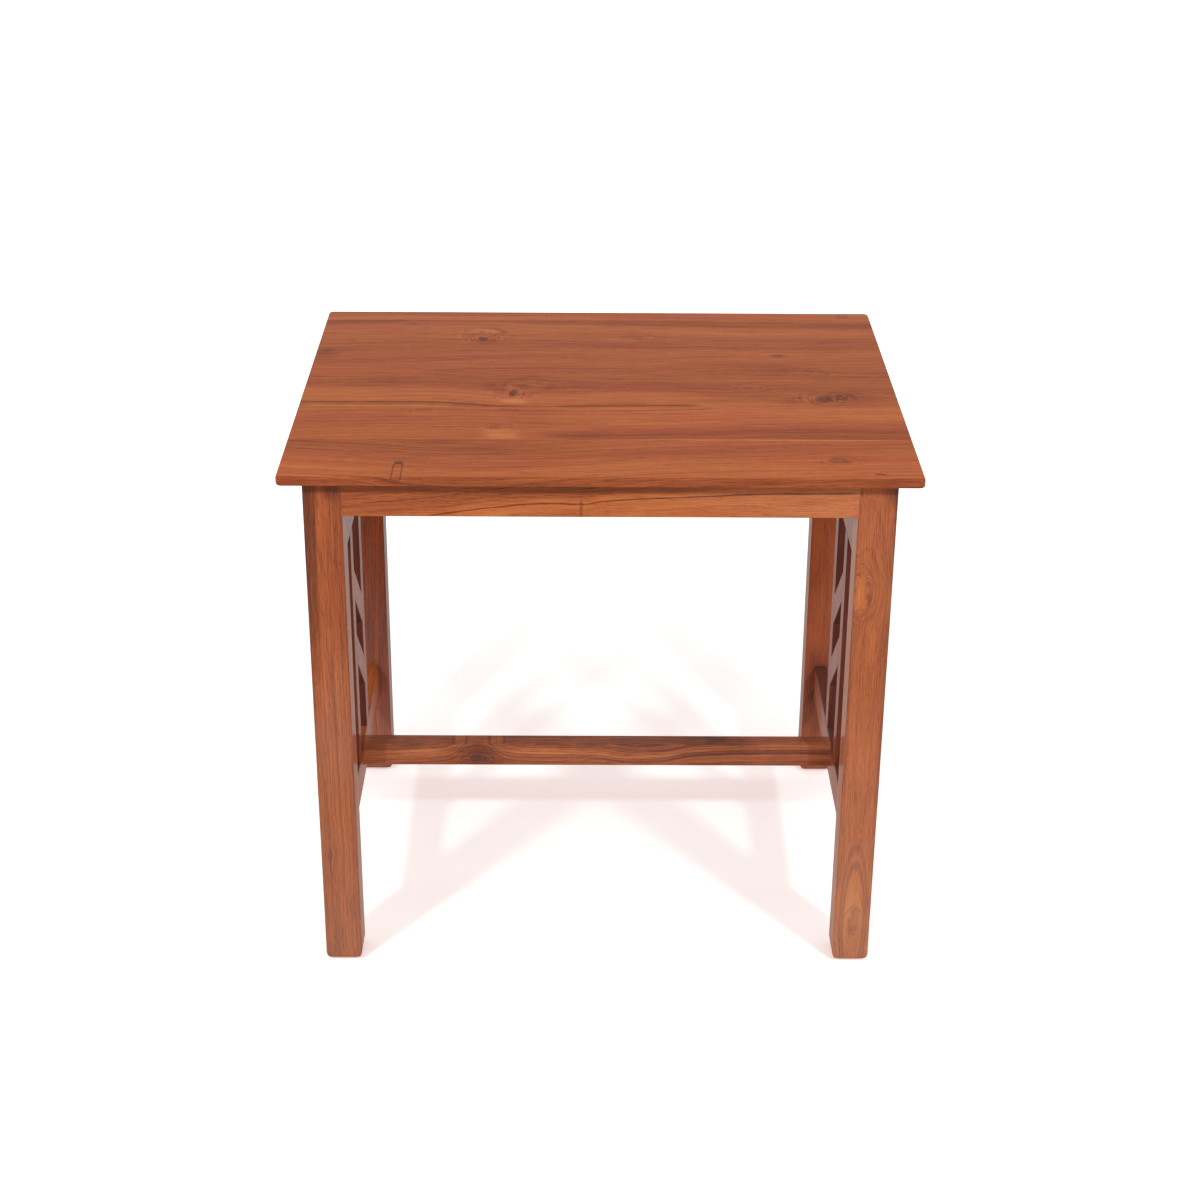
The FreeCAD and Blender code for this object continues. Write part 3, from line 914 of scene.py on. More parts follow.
@dataclass
class Underframe:
    """Legs, aprons, rails, cleats and stretcher. Millimetres."""

    leg_front: float = 300.5
    back_front: float = 249.5
    apron_middle: float = 717.5
    stretcher_front: float = 14.0
    stretcher_middle: float = 176.5
    rail_middle: float = 166.5
    plain_seed: float = 30.0
    seed_step: float = 3.7

    def named(self) -> dict[str, Figure]:
        """Describe the pieces whose figure the photograph shows.

        Returns:
            A figure by node name. A leg's places are its height and the distance from its
            middle; a rail's are X and the distance above its middle.
        """
        front_left, front_right = (Vector((side.value * SIDE_MIDDLE, -self.leg_front, 0)) for side in Side)
        back_left, back_right = (Vector((side.value * SIDE_MIDDLE, self.back_front, 0)) for side in Side)
        apron = Vector((0, -self.leg_front, self.apron_middle))
        stretcher = Vector((0, -self.stretcher_front, self.stretcher_middle))
        rail_left, rail_right = (Vector((side.value * SIDE_MIDDLE, 0, self.rail_middle)) for side in Side)
        return {
            # The legs' pale tint is strongest at the foot: painted reflection of the bright floor.
            "leg_front_left": Figure(
                11, ALONG_Z, ALONG_X, front_left, pith=(-80, 60), ring=4, wander=4, shade=-0.3,
                ruddy=-0.4, fleck=0.5, pale_tint_and_reflection=(0.09, 0.02),
                path=((0, 4), (300, 0), (500, 0), (744, 6)),
                near=((-26, -0.1), (-16, 0.1), (0, 0.27), (14, 0.22), (26, 0.1)),
                far=((-26, -0.25), (-17, -0.25), (-11, -0.1), (-4, 0.25), (8, -0.1), (26, -0.15)),
                ends=(440, 570),
                veins=(Vein(-13, 2, -0.2, 440, 760), Vein(-8, 2, 0.4, 380, 700), Vein(4, 2, -0.4, 80, 560),
                       Vein(-14, 1.6, -0.4, 120, 300)),
                knots=(Knot(175, -13, 14, 4, turn=6, heart=0.12, swirl=10, eddy=0.3, depth=20),
                       Knot(572, -2, 26, 10, rim=0.12, swirl=8, eddy=0.1, depth=20, rough=0.5, line=0.12)),
                patches=(Patch(670, -26, 150, 30, -0.55, turn=-3), Patch(530, -28, 120, 18, -0.6, turn=-2),
                         Patch(735, 10, 30, 20, -0.5), Patch(390, 0, 160, 40, -0.1, pale_reflection=0.03))),
            "leg_front_right": Figure(
                12, ALONG_Z, ALONG_X, front_right, pith=(0, 46), ring=6, wander=3, shade=-0.1, ruddy=-0.8,
                fleck=0.5, pale_tint_and_reflection=(0.1, 0.034),
                near=((-26, 0.15), (-12, 0.35), (0, 0.4), (14, 0.3), (26, 0)),
                far=((-26, 0.04), (-10, 0.04), (5, -0.06), (18, -0.25), (26, -0.55)),
                ends=(150, 500),
                knots=(Knot(580, -17, 33, 12, rim=0.25, swirl=26, eddy=0.05, depth=18, rough=0.5,
                            line=0.09),
                       Knot(585, -16, 42, 15, rim=0.32, swirl=22, eddy=0, depth=18, rough=0.5, line=0.07),
                       Knot(590, -15, 54, 19, rim=0.24, swirl=22, eddy=0, depth=18, rough=0.5, line=0.06),
                       Knot(570, -4, 7, 2.4, turn=8, heart=0.45, swirl=8, eddy=0, depth=18),
                       Knot(66, 1.5, 26, 7, turn=3, heart=0.3, rim=0.12, swirl=12, eddy=0.3, depth=20,
                            rough=0.5),
                       Knot(66, 1, 94, 15, rim=0.38, swirl=20, eddy=0, depth=26, rough=0.3, line=0.14),
                       Knot(66, 1, 122, 18.5, rim=0.34, swirl=22, eddy=0, depth=26, rough=0.4, line=0.12)),
                patches=(Patch(583, -17, 32, 11, 0.5, depth=16), Patch(725, 22, 26, 14, -0.55),
                         Patch(690, 27, 60, 7, -0.5), Patch(738, -8, 20, 18, 0.15),
                         Patch(90, -2, 80, 18, 0.4, depth=30))),
            "leg_back_left": Figure(
                13, ALONG_Z, ALONG_X, back_left, pith=(60, 70), ring=4.5, wander=4, shade=-0.72, ruddy=0.8,
                fleck=0.4, pale_tint_and_reflection=(0.1, 0.01), path=((0, -10), (744, 12)),
                patches=(Patch(90, 0, 160, 40, 0.5),)),
            "leg_back_right": Figure(
                14, ALONG_Z, ALONG_X, back_right, pith=(-20, 60), ring=6, wander=7, shade=-0.15,
                ruddy=-0.1, contrast=0.8, fleck=0.5, pale_tint_and_reflection=(0.05, 0.01),
                patches=(Patch(140, 0, 110, 40, -0.6), Patch(150, -4, 40, 9, -0.7, turn=35))),
            "apron_front": Figure(
                15, ALONG_X, ALONG_Z, apron, pith=(-30, 60), ring=5, wander=2.5, ruddy=-0.8, shade=0.03,
                fleck=0.5, pale_tint_and_reflection=(0.02, 0.055),
                path=((-337, -26), (-220, -15), (-150, -5), (-60, 2), (-25, 1), (0, 5),
                      (100, 11), (200, 15), (337, 17)),
                # The dark last stops of near and far are painted shade along the apron's top, under the
                # overhang.
                near=((-40, 0.25), (-12, 0.2), (-3, 0.1), (8, -0.25), (20, -0.15), (28, -0.35)),
                far=((-44, 0.3), (-16, 0.35), (-3, 0.3), (3, -0.1), (12, -0.75)),
                ends=(-120, 120),
                veins=(Vein(-8.5, 1.8, -1.5, -230, 340, fade=20), Vein(16, 1.3, -0.9, -320, -100)),
                knots=(Knot(-25, -14, 2, 15, heart=0.5, swirl=4, eddy=0, corner=4),),
                patches=(Patch(60, -14, 110, 16, -0.2),)),
            "stretcher": Figure(
                16, ALONG_X, ALONG_Z, stretcher, pith=(34, 14), ring=7, wander=3, ruddy=-0.2, shade=-0.05,
                contrast=1.5, pale_tint_and_reflection=(0.05, 0.05),
                path=((-337, -4), (-250, 0), (-215, 8), (-180, 26), (-150, 10), (-110, 2),
                      (0, 0), (60, -6), (150, 6), (250, 10), (337, 10)),
                near=((-20, -0.2), (-8, 0.2), (2, 0.5), (9, 0.3), (14, -0.4), (20, -0.5)),
                far=((-20, -0.4), (-12, 0.4), (-5, -0.65), (3, 0.5), (11, -0.55), (20, -0.7)),
                ends=(-100, 240),
                knots=(Knot(-180, -5, 8, 6.5, heart=0.6, rim=0.3, swirl=14, eddy=0.6, depth=30),),
                veins=tuple(Vein(across, width, tone, -340, 340) for across, width, tone in (
                    (-6, 1.5, -0.9), (4, 1.3, -0.8), (11, 1.6, -0.8), (-13, 1.4, -0.8), (-1, 1.2, -0.6))),
                patches=(Patch(-178, -2, 34, 26, -0.6), Patch(-262, 4, 60, 8, 0.4),
                         Patch(-90, 5, 70, 6, 0.4), Patch(210, -12, 110, 5, 0.5))),
            # Painted shade: the left rail's top is darkened towards its front end; the right rail's top is
            # darker all along.
            "bottom_rail_left": Figure(
                17, ALONG_Y, ALONG_Z, rail_left, pith=(50, 40), wander=2, ruddy=-0.3, pale_tint_and_reflection=(0.01, 0.01),
                near=((20, 0), (26, -1.3)), far=((20, 0), (26, -0.05)), ends=(-40, 60)),
            "bottom_rail_right": Figure(
                18, ALONG_Y, ALONG_Z, rail_right, pith=(50, 40), wander=2, ruddy=0.6, pale_tint_and_reflection=(0.03, 0.04),
                near=((20, 0), (26, -1.5)), far=((20, 0), (26, -1.4))),
        }

    def plain(self, node: str, seed: float) -> Figure:
        """Describe a piece from its box, with the grain along its length.

        Args:
            node: The node's name.
            seed: Tells it from the other pieces.

        Returns:
            The figure.
        """
        low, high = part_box(node)
        size = high - low
        middle = (low + high) / 2 / MM
        order = sorted(((size.x, ALONG_X), (size.y, ALONG_Y), (size.z, ALONG_Z)), key=lambda side: -side[0])
        return Figure(seed, order[0][1], order[1][1], middle, pith=(50.0, 40.0), wander=4.0, shade=-0.1,
                      ruddy=0.25)

    def dress(self, grain: TeakGrain) -> list[str]:
        """Give each member its finish.

        Args:
            grain: The shared node groups.

        Returns:
            The members' nodes.
        """
        named = self.named()
        wooden = [node for node in sorted(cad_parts)
                  if node.startswith(("leg_", "apron_", "mid_", "bottom_", "stretcher", "cleat_"))
                  and not node.endswith("_screws")]
        for number, node in enumerate(wooden):
            figure = named.get(node) or self.plain(node, self.plain_seed + self.seed_step * number)
            give(node, LacqueredTeak(f"teak of {node.replace('_', ' ')}", figure, grain).material())
        return wooden


def give(node: str, material: bpy.types.Material) -> None:
    """Put a material on a CAD node.

    Args:
        node: The node's name.
        material: The finish.
    """
    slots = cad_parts[node].data.materials
    slots.clear()
    slots.append(material)


class Jig:
    """A Geometry Nodes tree that makes one kind of repeated piece from named sizes.

    A piece is made standing on the origin and pointing up. One is set on each point of the
    object's mesh, turned to the point's own way.
    """

    CREASE = math.radians(40.0)

    def __init__(self, name: str, sizes: dict[str, float | int]) -> None:
        """Open the tree.

        Args:
            name: The tree's name.
            sizes: Input values by name: lengths in millimetres, whole numbers for counts.
        """
        self.sizes = {label: value if isinstance(value, int) else value * MM
                      for label, value in sizes.items()}
        self.tree = bpy.data.node_groups.new(name, "GeometryNodeTree")
        sockets = self.tree.interface
        sockets.new_socket("Places", in_out="INPUT", socket_type="NodeSocketGeometry")
        for label, value in self.sizes.items():
            kind = "Int" if isinstance(value, int) else "Float"
            sockets.new_socket(label, in_out="INPUT", socket_type=f"NodeSocket{kind}")
        sockets.new_socket("Finish", in_out="INPUT", socket_type="NodeSocketMaterial")
        sockets.new_socket("Pieces", in_out="OUTPUT", socket_type="NodeSocketGeometry")
        self.size = self.tree.nodes.new("NodeGroupInput").outputs

    def turned(self, stations: list[tuple[Source, Source]], ring: Source) -> Node:
        """Sweep a ring up a straight line, as on a lathe.

        Args:
            stations: Height and scale of the ring, from the bottom up.
            ring: The ring's curve, for scale 1.

        Returns:
            The closed mesh.
        """
        tree = self.tree
        index = add(tree, "GeometryNodeInputIndex")
        fields = []
        for column in zip(*stations):
            pick = add(tree, "GeometryNodeIndexSwitch", data_type="FLOAT")
            while len(pick.index_switch_items) < len(column):
                pick.index_switch_items.new()
            wire(tree, pick, {0: index, **dict(enumerate(column, start=1))})
            fields.append(pick)
        place = add(tree, JOIN, {"Z": fields[0]})
        line = add(tree, "GeometryNodeMeshLine", {"Count": len(stations)})
        line = add(tree, "GeometryNodeSetPosition", {"Geometry": line, "Position": place})
        line = add(tree, "GeometryNodeMeshToCurve", (line,))
        return add(tree, "GeometryNodeCurveToMesh",
                   {"Curve": line, "Profile Curve": ring, "Scale": fields[1], "Fill Caps": True})

    def cut(self, body: Source, *cutters: Source) -> Node:
        """Cut shapes out of a body.

        Args:
            body: The mesh that is cut.
            cutters: The closed meshes that are taken away.

        Returns:
            The rest of the body.
        """
        node = add(self.tree, "GeometryNodeMeshBoolean", {"Mesh 1": body}, "DIFFERENCE", solver="EXACT")
        for cutter in cutters:
            wire(self.tree, node, {"Mesh 2": cutter})
        return node

    def joined(self, *parts: Source) -> Node:
        """Put several meshes into one.

        Args:
            parts: The meshes.

        Returns:
            All of them.
        """
        node = add(self.tree, "GeometryNodeJoinGeometry")
        for part in parts:
            wire(self.tree, node, (part,))
        return node

    def close(self, piece: Source, spin: bool = False) -> None:
        """End the tree: set the pieces in their places, crease their edges and give the finish.

        Args:
            piece: One piece.
            spin: Turn each piece about its own length by a random angle.
        """
        tree = self.tree
        way = add(tree, "GeometryNodeInputNamedAttribute", {"Name": "way"}, data_type="FLOAT_VECTOR")
        turn = add(tree, "FunctionNodeAlignRotationToVector", {"Vector": way}, axis="Z")
        if spin:
            spun = add(tree, "FunctionNodeRandomValue", {3: math.tau, "Seed": self.size["Seed"]},
                       data_type="FLOAT")
            own = add(tree, "FunctionNodeAxisAngleToRotation", {"Axis": ALONG_Z, "Angle": spun.outputs[1]})
            turn = add(tree, "FunctionNodeRotateRotation", (turn, own), rotation_space="LOCAL")
        placed = add(tree, "GeometryNodeInstanceOnPoints",
                     {"Points": self.size["Places"], "Instance": piece, "Rotation": turn})
        angle = add(tree, "GeometryNodeInputMeshEdgeAngle").outputs["Unsigned Angle"]
        edge = add(tree, "FunctionNodeCompare", (angle, self.CREASE), "GREATER_THAN")
        mesh = add(tree, "GeometryNodeRealizeInstances", (placed,))
        smooth = add(tree, "GeometryNodeSetShadeSmooth", {"Geometry": mesh, "Shade Smooth": True})
        creased = add(tree, "GeometryNodeSetShadeSmooth",
                      {"Geometry": smooth, "Selection": edge, "Shade Smooth": False}, domain="EDGE")
        made = add(tree, "GeometryNodeSetMaterial", {"Geometry": creased, "Material": self.size["Finish"]})
        add(tree, "NodeGroupOutput", (made,))

    def make(self, name: str, places: Sequence[Vector], ways: Vector | Sequence[Vector],
             finish: bpy.types.Material, slot: str, nodes: list[str]) -> bpy.types.Object:
        """Make the pieces as one plain mesh.

        Args:
            name: The object's name.
            places: Where each piece starts, in millimetres.
            ways: The direction that all of them, or each of them, point in.
            finish: Its material.
            slot: Not used.
            nodes: The CAD nodes that it stands for.

        Returns:
            The object.
        """
        points = bpy.data.meshes.new(name)
        points.from_pydata([place * MM for place in places], [], [])
        way = points.attributes.new("way", "FLOAT_VECTOR", "POINT")
        for item, direction in zip(way.data, repeat(ways) if isinstance(ways, Vector) else ways):
            item.vector = direction
        piece = stand(name, points)
        jig = piece.modifiers.new("jig", "NODES")
        jig.node_group = self.tree
        for socket in self.tree.interface.items_tree:
            if socket.name in self.sizes:
                jig[socket.identifier] = self.sizes[socket.name]
            elif socket.name == "Finish":
                jig[socket.identifier] = finish
        flat = piece.modifiers.new("flat faces", "WEIGHTED_NORMAL")
        flat.keep_sharp = True
        view = bpy.context.evaluated_depsgraph_get()
        mesh = bpy.data.meshes.new_from_object(piece.evaluated_get(view), preserve_all_data_layers=True,
                                               depsgraph=view)
        piece.modifiers.clear()
        mesh.name = name
        mesh.materials.clear()
        mesh.materials.append(finish)
        mesh.polygons.foreach_set("material_index", [0] * len(mesh.polygons))
        piece.data = mesh
        if nodes:
            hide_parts(*nodes)
        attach(piece, "root")
        return piece


@dataclass(frozen=True)
class ZincPlatedSteel:
    """Carbon steel, cold headed and thread rolled, with a bright zinc plating.

    The eye gets a cool grey metal with soft blurred reflections and faint darker clouds.
    """

    clouds: Ramp = Ramp(((0.3, "#a3a6a8"), (0.7, "#c3c6c9")))
    cloud: float = 1.6
    roughness: float = 0.3
    shine: float = 0.12

    def material(self) -> bpy.types.Material:
        """Build the finish.

        Returns:
            The material.
        """
        made = bpy.data.materials.new("zinc-plated steel")
        tree = blank(made)
        where = add(tree, TEXTURE_PLACE).outputs["Object"]
        cloud = add(tree, NOISE, {"Vector": where, "Scale": 1 / (self.cloud * MM), "Detail": 3.0})
        colour = self.clouds.follow(tree, cloud.outputs["Fac"])
        rough = add(tree, MATH, (cloud.outputs["Fac"], -self.shine, self.roughness + self.shine / 2),
                    "MULTIPLY_ADD")
        shader = add(tree, "ShaderNodeBsdfPrincipled",
                     {"Base Color": colour, "Roughness": rough, "Metallic": 1.0})
        add(tree, "ShaderNodeOutputMaterial", {"Surface": shader})
        return made


@dataclass(frozen=True)
class MouldedNylon:
    """Brown nylon, injection moulded, lightly scuffed by the floor.

    The eye gets a dark matt brown with a fine spark-eroded texture and paler rubbed places. The
    grit of the real one is too fine to show, so it is drawn coarser.
    """

    rubbing: Ramp = Ramp(((0.45, "#2b1d17"), (0.75, "#463229")))
    scuff: float = 5.0
    grit: float = 0.35
    grit_deep: float = 0.05
    bump: float = 0.4
    roughness: float = 0.5
    wear: float = 0.2
    ior: float = 1.53

    def material(self) -> bpy.types.Material:
        """Build the finish.

        Returns:
            The material.
        """
        made = bpy.data.materials.new("moulded nylon")
        tree = blank(made)
        where = add(tree, TEXTURE_PLACE).outputs["Object"]
        scuff = add(tree, NOISE, {"Vector": where, "Scale": 1 / (self.scuff * MM), "Detail": 4.0})
        colour = self.rubbing.follow(tree, scuff.outputs["Fac"])
        grit = add(tree, NOISE, {"Vector": where, "Scale": 1 / (self.grit * MM), "Detail": 2.0})
        bump = add(tree, "ShaderNodeBump",
                   {"Strength": self.bump, "Distance": self.grit_deep * MM, "Height": grit.outputs["Fac"]})
        rough = add(tree, MATH, (scuff.outputs["Fac"], self.wear, self.roughness - self.wear / 2),
                    "MULTIPLY_ADD")
        shader = add(tree, "ShaderNodeBsdfPrincipled",
                     {"Base Color": colour, "Roughness": rough, "Normal": bump, "IOR": self.ior})
        add(tree, "ShaderNodeOutputMaterial", {"Surface": shader})
        return made


@dataclass(frozen=True)
class TurnedBeech:
    """Beech, turned and pressed into fluted dowels, left raw.

    The eye gets a pale pinkish tan with short brown ray flecks along the grain, which runs
    with Y.
    """

    rays: Ramp = Ramp(((0.4, "#d9b48a"), (0.7, "#a87a50")))
    ray_long: float = 3.0
    ray_wide: float = 0.35
    roughness: float = 0.7

    def material(self) -> bpy.types.Material:
        """Build the finish.

        Returns:
            The material.
        """
        made = bpy.data.materials.new("turned beech")
        tree = blank(made)
        where = add(tree, TEXTURE_PLACE).outputs["Object"]
        wide = 1 / (self.ray_wide * MM)
        where = add(tree, VECTORS, (where, (wide, 1 / (self.ray_long * MM), wide)), "MULTIPLY")
        ray = add(tree, NOISE, {"Vector": where, "Scale": 1.0, "Detail": 2.0}).outputs["Fac"]
        colour = self.rays.follow(tree, ray)
        shader = add(tree, "ShaderNodeBsdfPrincipled", {"Base Color": colour, "Roughness": self.roughness})
        add(tree, "ShaderNodeOutputMaterial", {"Surface": shader})
        return made


class Finishes:
    """The finishes that several pieces share."""

    def __init__(self) -> None:
        """Build each of them once."""
        self.grain = TeakGrain()
        self.steel = ZincPlatedSteel().material()
        self.nylon = MouldedNylon().material()
        self.beech = TurnedBeech().material()


@dataclass
class Lattice:
    """The upright slats and slanting rungs of the two side frames. Millimetres."""

    thick: float = 18.0
    arris: float = 1.5
    slat_wide: float = 32.0
    slat_apart: float = 116.0
    slat_low: float = 195.0
    slat_high: float = 565.0
    rung_wide: float = 36.0
    tenon_thick: float = 8.0
    tenon_wide: float = 22.0
    tenon_long: float = 10.0

    def build(self, finishes: Finishes) -> list[bpy.types.Object]:
        """Make the slats and rungs of both sides.

        Args:
            finishes: The table's finishes.

        Returns:
            The pieces.
        """
        gap = self.slat_apart - self.slat_wide
        slat_long = self.slat_high - self.slat_low
        slats = self._planed("planed slats", self.slat_wide, slat_long, 0.0, self.tenon_long)
        drop = gap * math.tan(RUNG_FALL)
        rungs = self._planed("planed rungs", self.rung_wide / math.cos(RUNG_FALL), gap, drop, 0.0)
        slant = Vector((0.0, math.cos(RUNG_FALL), -math.sin(RUNG_FALL)))
        square = Vector((0.0, math.sin(RUNG_FALL), math.cos(RUNG_FALL)))
        start = Vector((0.0, -gap / 2, drop / 2))
        pieces = []
        for number, side in enumerate(Side):
            name = side.name.lower()
            centre = Vector((side.value * SIDE_MIDDLE, 0.0, 0.0))
            slat_places = [centre + Vector((0.0, end.value * self.slat_apart / 2, self.slat_low))
                           for end in End]
            rung_places = [centre + start + height * ALONG_Z for height in RUNG_CENTRES]
            slat_nodes = [f"slat_{name}_{end.name.lower()}" for end in End]
            rung_nodes = [f"rung_{name}_{place}" for place in ("upper", "lower")]
            for kind, jig, seed, pith, grain, across, way, places, nodes in (
                    ("slats", slats, 61, (70, 40), ALONG_Z, ALONG_Y, ALONG_Z, slat_places, slat_nodes),
                    ("rungs", rungs, 64, (50, 40), slant, square, ALONG_Y, rung_places, rung_nodes)):
                # The edge tone is painted shade on the narrow faces inside the frames.
                figure = Figure(seed + number, grain, across, centre, pith=pith, wander=4.0, shade=-0.3,
                                ruddy=0.6, edge=-1.2, pale_tint_and_reflection=(0.02, 0.02))
                finish = LacqueredTeak(f"teak of {name} {kind}", figure, finishes.grain).material()
                pieces.append(jig.make(f"{kind}_{name}", places, way, finish, "frame_wood", nodes))
        return pieces

    def _planed(self, name: str, wide: float, length: float, drop: float, tenon: float) -> Jig:
        """Build the tree for a planed bar with eased arrises and ends cut parallel.

        Args:
            name: The tree's name.
            wide: The bar's width, measured along its ends.
            length: The distance between its ends.
            drop: How far one end is shifted against the other.
            tenon: How far a tenon reaches from each end.

        Returns:
            The tree.
        """
        jig = Jig(name, {
            "Thick": self.thick, "Wide": wide, "Length": length, "Arris": self.arris, "Drop": drop,
            "Tenon Thick": self.tenon_thick, "Tenon Wide": self.tenon_wide,
            "Tenon Length": length + 2 * tenon, "Middle": length / 2})
        tree, size = jig.tree, jig.size
        outline = add(tree, "GeometryNodeCurvePrimitiveQuadrilateral",
                      {"Width": size["Thick"], "Height": size["Wide"]}, mode="RECTANGLE")
        outline = add(tree, "GeometryNodeFilletCurve",
                      {"Curve": outline, "Radius": size["Arris"], "Count": 4}, mode="POLY")
        bar = jig.turned([(0.0, 1.0), (size["Length"], 1.0)], outline)
        # Mark the narrow faces, those that look along Y, for the painted shade of the frames' recesses.
        painted_shade_faces = add(tree, "GeometryNodeInputNormal")
        painted_shade_faces = add(tree, SPLIT, (painted_shade_faces,)).outputs["Y"]
        painted_shade_faces = add(tree, MATH, (painted_shade_faces,), "ABSOLUTE")
        bar = add(tree, "GeometryNodeStoreNamedAttribute",
                  {"Geometry": bar, "Name": "edge", "Value": painted_shade_faces}, data_type="FLOAT", domain="FACE")
        place = add(tree, "GeometryNodeInputPosition")
        height = add(tree, SPLIT, (place,)).outputs["Z"]
        share = add(tree, MATH, (height, size["Length"]), "DIVIDE")
        shift = add(tree, MATH, (share, size["Drop"]), "MULTIPLY")
        offset = add(tree, JOIN, {"Y": shift})
        bar = add(tree, "GeometryNodeSetPosition", {"Geometry": bar, "Offset": offset})
        if tenon:
            extent = add(tree, JOIN,
                         {"X": size["Tenon Thick"], "Y": size["Tenon Wide"], "Z": size["Tenon Length"]})
            lift = add(tree, JOIN, {"Z": size["Middle"]})
            tongue = add(tree, "GeometryNodeMeshCube", {"Size": extent})
            tongue = add(tree, "GeometryNodeTransform", {"Geometry": tongue, "Translation": lift})
            bar = jig.joined(bar, tongue)
        jig.close(bar)
        return jig


@dataclass
class Screws:
    """Countersunk wood screws through the cleats into the top and the aprons. Millimetres.

    The head, core, thread and tip are given by their radius.

    Attributes:
        tip: Length of the point.
        recess_wide: Width of the cross's slots.
        recess_span: Length of the cross's slots.
        cleat_low: Height of the cleats' undersides, where the top's screws start.
        cleat_middle: Height of the screws into the aprons.
        long_line: How far the top's screws at front and back are from the middle.
        side_line: How far those at the sides are from it.
        long_face: How far the inner faces of the front and back cleats are from the middle.
        side_face: How far those of the side cleats are from it.
        long_up: Places of the top's screws along the front and back cleats.
        side_up: Their places along the side cleats.
        long_out: Places of the apron screws along the front and back cleats.
        side_out: Their places along the side cleats.
    """

    length: float = 30.0
    tip: float = 3.0
    tip_radius: float = 0.1
    core: float = 1.5
    thread: float = 0.5
    pitch: float = 1.8
    head: float = 4.0
    head_deep: float = 2.4
    recess_wide: float = 1.0
    recess_span: float = 4.4
    recess_deep: float = 1.6
    cleat_low: float = 729.0
    cleat_middle: float = 739.0
    long_line: float = 268.5
    side_line: float = 343.5
    long_face: float = 258.5
    side_face: float = 333.5
    long_up: tuple[float, ...] = (-230.0, 0.0, 230.0)
    side_up: tuple[float, ...] = (-222.0, -140.0, -14.0, 108.0, 222.0)
    long_out: tuple[float, ...] = (-290.0, -115.0, 115.0, 290.0)
    side_out: tuple[float, ...] = (-180.0, 48.0, 180.0)

    def build(self, finishes: Finishes) -> list[bpy.types.Object]:
        """Make both groups of screws.

        Args:
            finishes: The table's finishes.

        Returns:
            The pieces.
        """
        jig = self._screw()
        steel = finishes.steel
        top = [Vector((x, end.value * self.long_line, self.cleat_low)) for end in End for x in self.long_up]
        top += [Vector((side.value * self.side_line, y, self.cleat_low))
                for side in Side for y in self.side_up]
        rows = [(Vector((x, end.value * self.long_face, self.cleat_middle)), end.value * ALONG_Y)
                for end in End for x in self.long_out]
        rows += [(Vector((side.value * self.side_face, y, self.cleat_middle)), side.value * ALONG_X)
                 for side in Side for y in self.side_out]
        apron, ways = zip(*rows)
        return [
            jig.make("threaded_top_screws", top, ALONG_Z, steel, "screw_steel", ["top_screws"]),
            jig.make("threaded_apron_screws", apron, ways, steel, "screw_steel", ["apron_screws"]),
        ]

    def _screw(self) -> Jig:
        """Build the tree for a screw with a cross recess and a thread.

        Returns:
            The tree.
        """
        turns = round((self.length - self.tip - self.head_deep) / self.pitch)
        jig = Jig("countersunk screw", {
            "Length": self.length, "Tip Start": self.length - self.tip, "Tip": self.tip_radius,
            "Core": self.core, "Head": self.head, "Head Deep": self.head_deep,
            "Recess Wide": self.recess_wide, "Recess Span": self.recess_span,
            "Recess Deep": 2 * self.recess_deep, "Thread": self.thread,
            "Thread Run": turns * self.pitch, "Turns": turns, "Facets": 20, "Seed": 5})
        tree, size = jig.tree, jig.size
        ring = add(tree, "GeometryNodeCurvePrimitiveCircle", {"Resolution": size["Facets"], "Radius": 1.0})
        body = jig.turned([(0.0, size["Head"]), (size["Head Deep"], size["Core"]),
                           (size["Tip Start"], size["Core"]), (size["Length"], size["Tip"])], ring)
        arms = []
        for x, y in (("Recess Wide", "Recess Span"), ("Recess Span", "Recess Wide")):
            arm = add(tree, JOIN, {"X": size[x], "Y": size[y], "Z": size["Recess Deep"]})
            arms.append(add(tree, "GeometryNodeMeshCube", {"Size": arm}))
        body = jig.cut(body, *arms)
        helix = add(tree, "GeometryNodeCurveSpiral",
                    {"Resolution": 10, "Rotations": size["Turns"], "Start Radius": size["Core"],
                     "End Radius": size["Core"], "Height": size["Thread Run"]})
        ridge = add(tree, "GeometryNodeCurvePrimitiveCircle", {"Resolution": 3, "Radius": size["Thread"]})
        thread = add(tree, "GeometryNodeCurveToMesh",
                     {"Curve": helix, "Profile Curve": ridge, "Fill Caps": True})
        lift = add(tree, JOIN, {"Z": size["Head Deep"]})
        thread = add(tree, "GeometryNodeTransform", {"Geometry": thread, "Translation": lift})
        jig.close(jig.joined(body, thread), spin=True)
        return jig


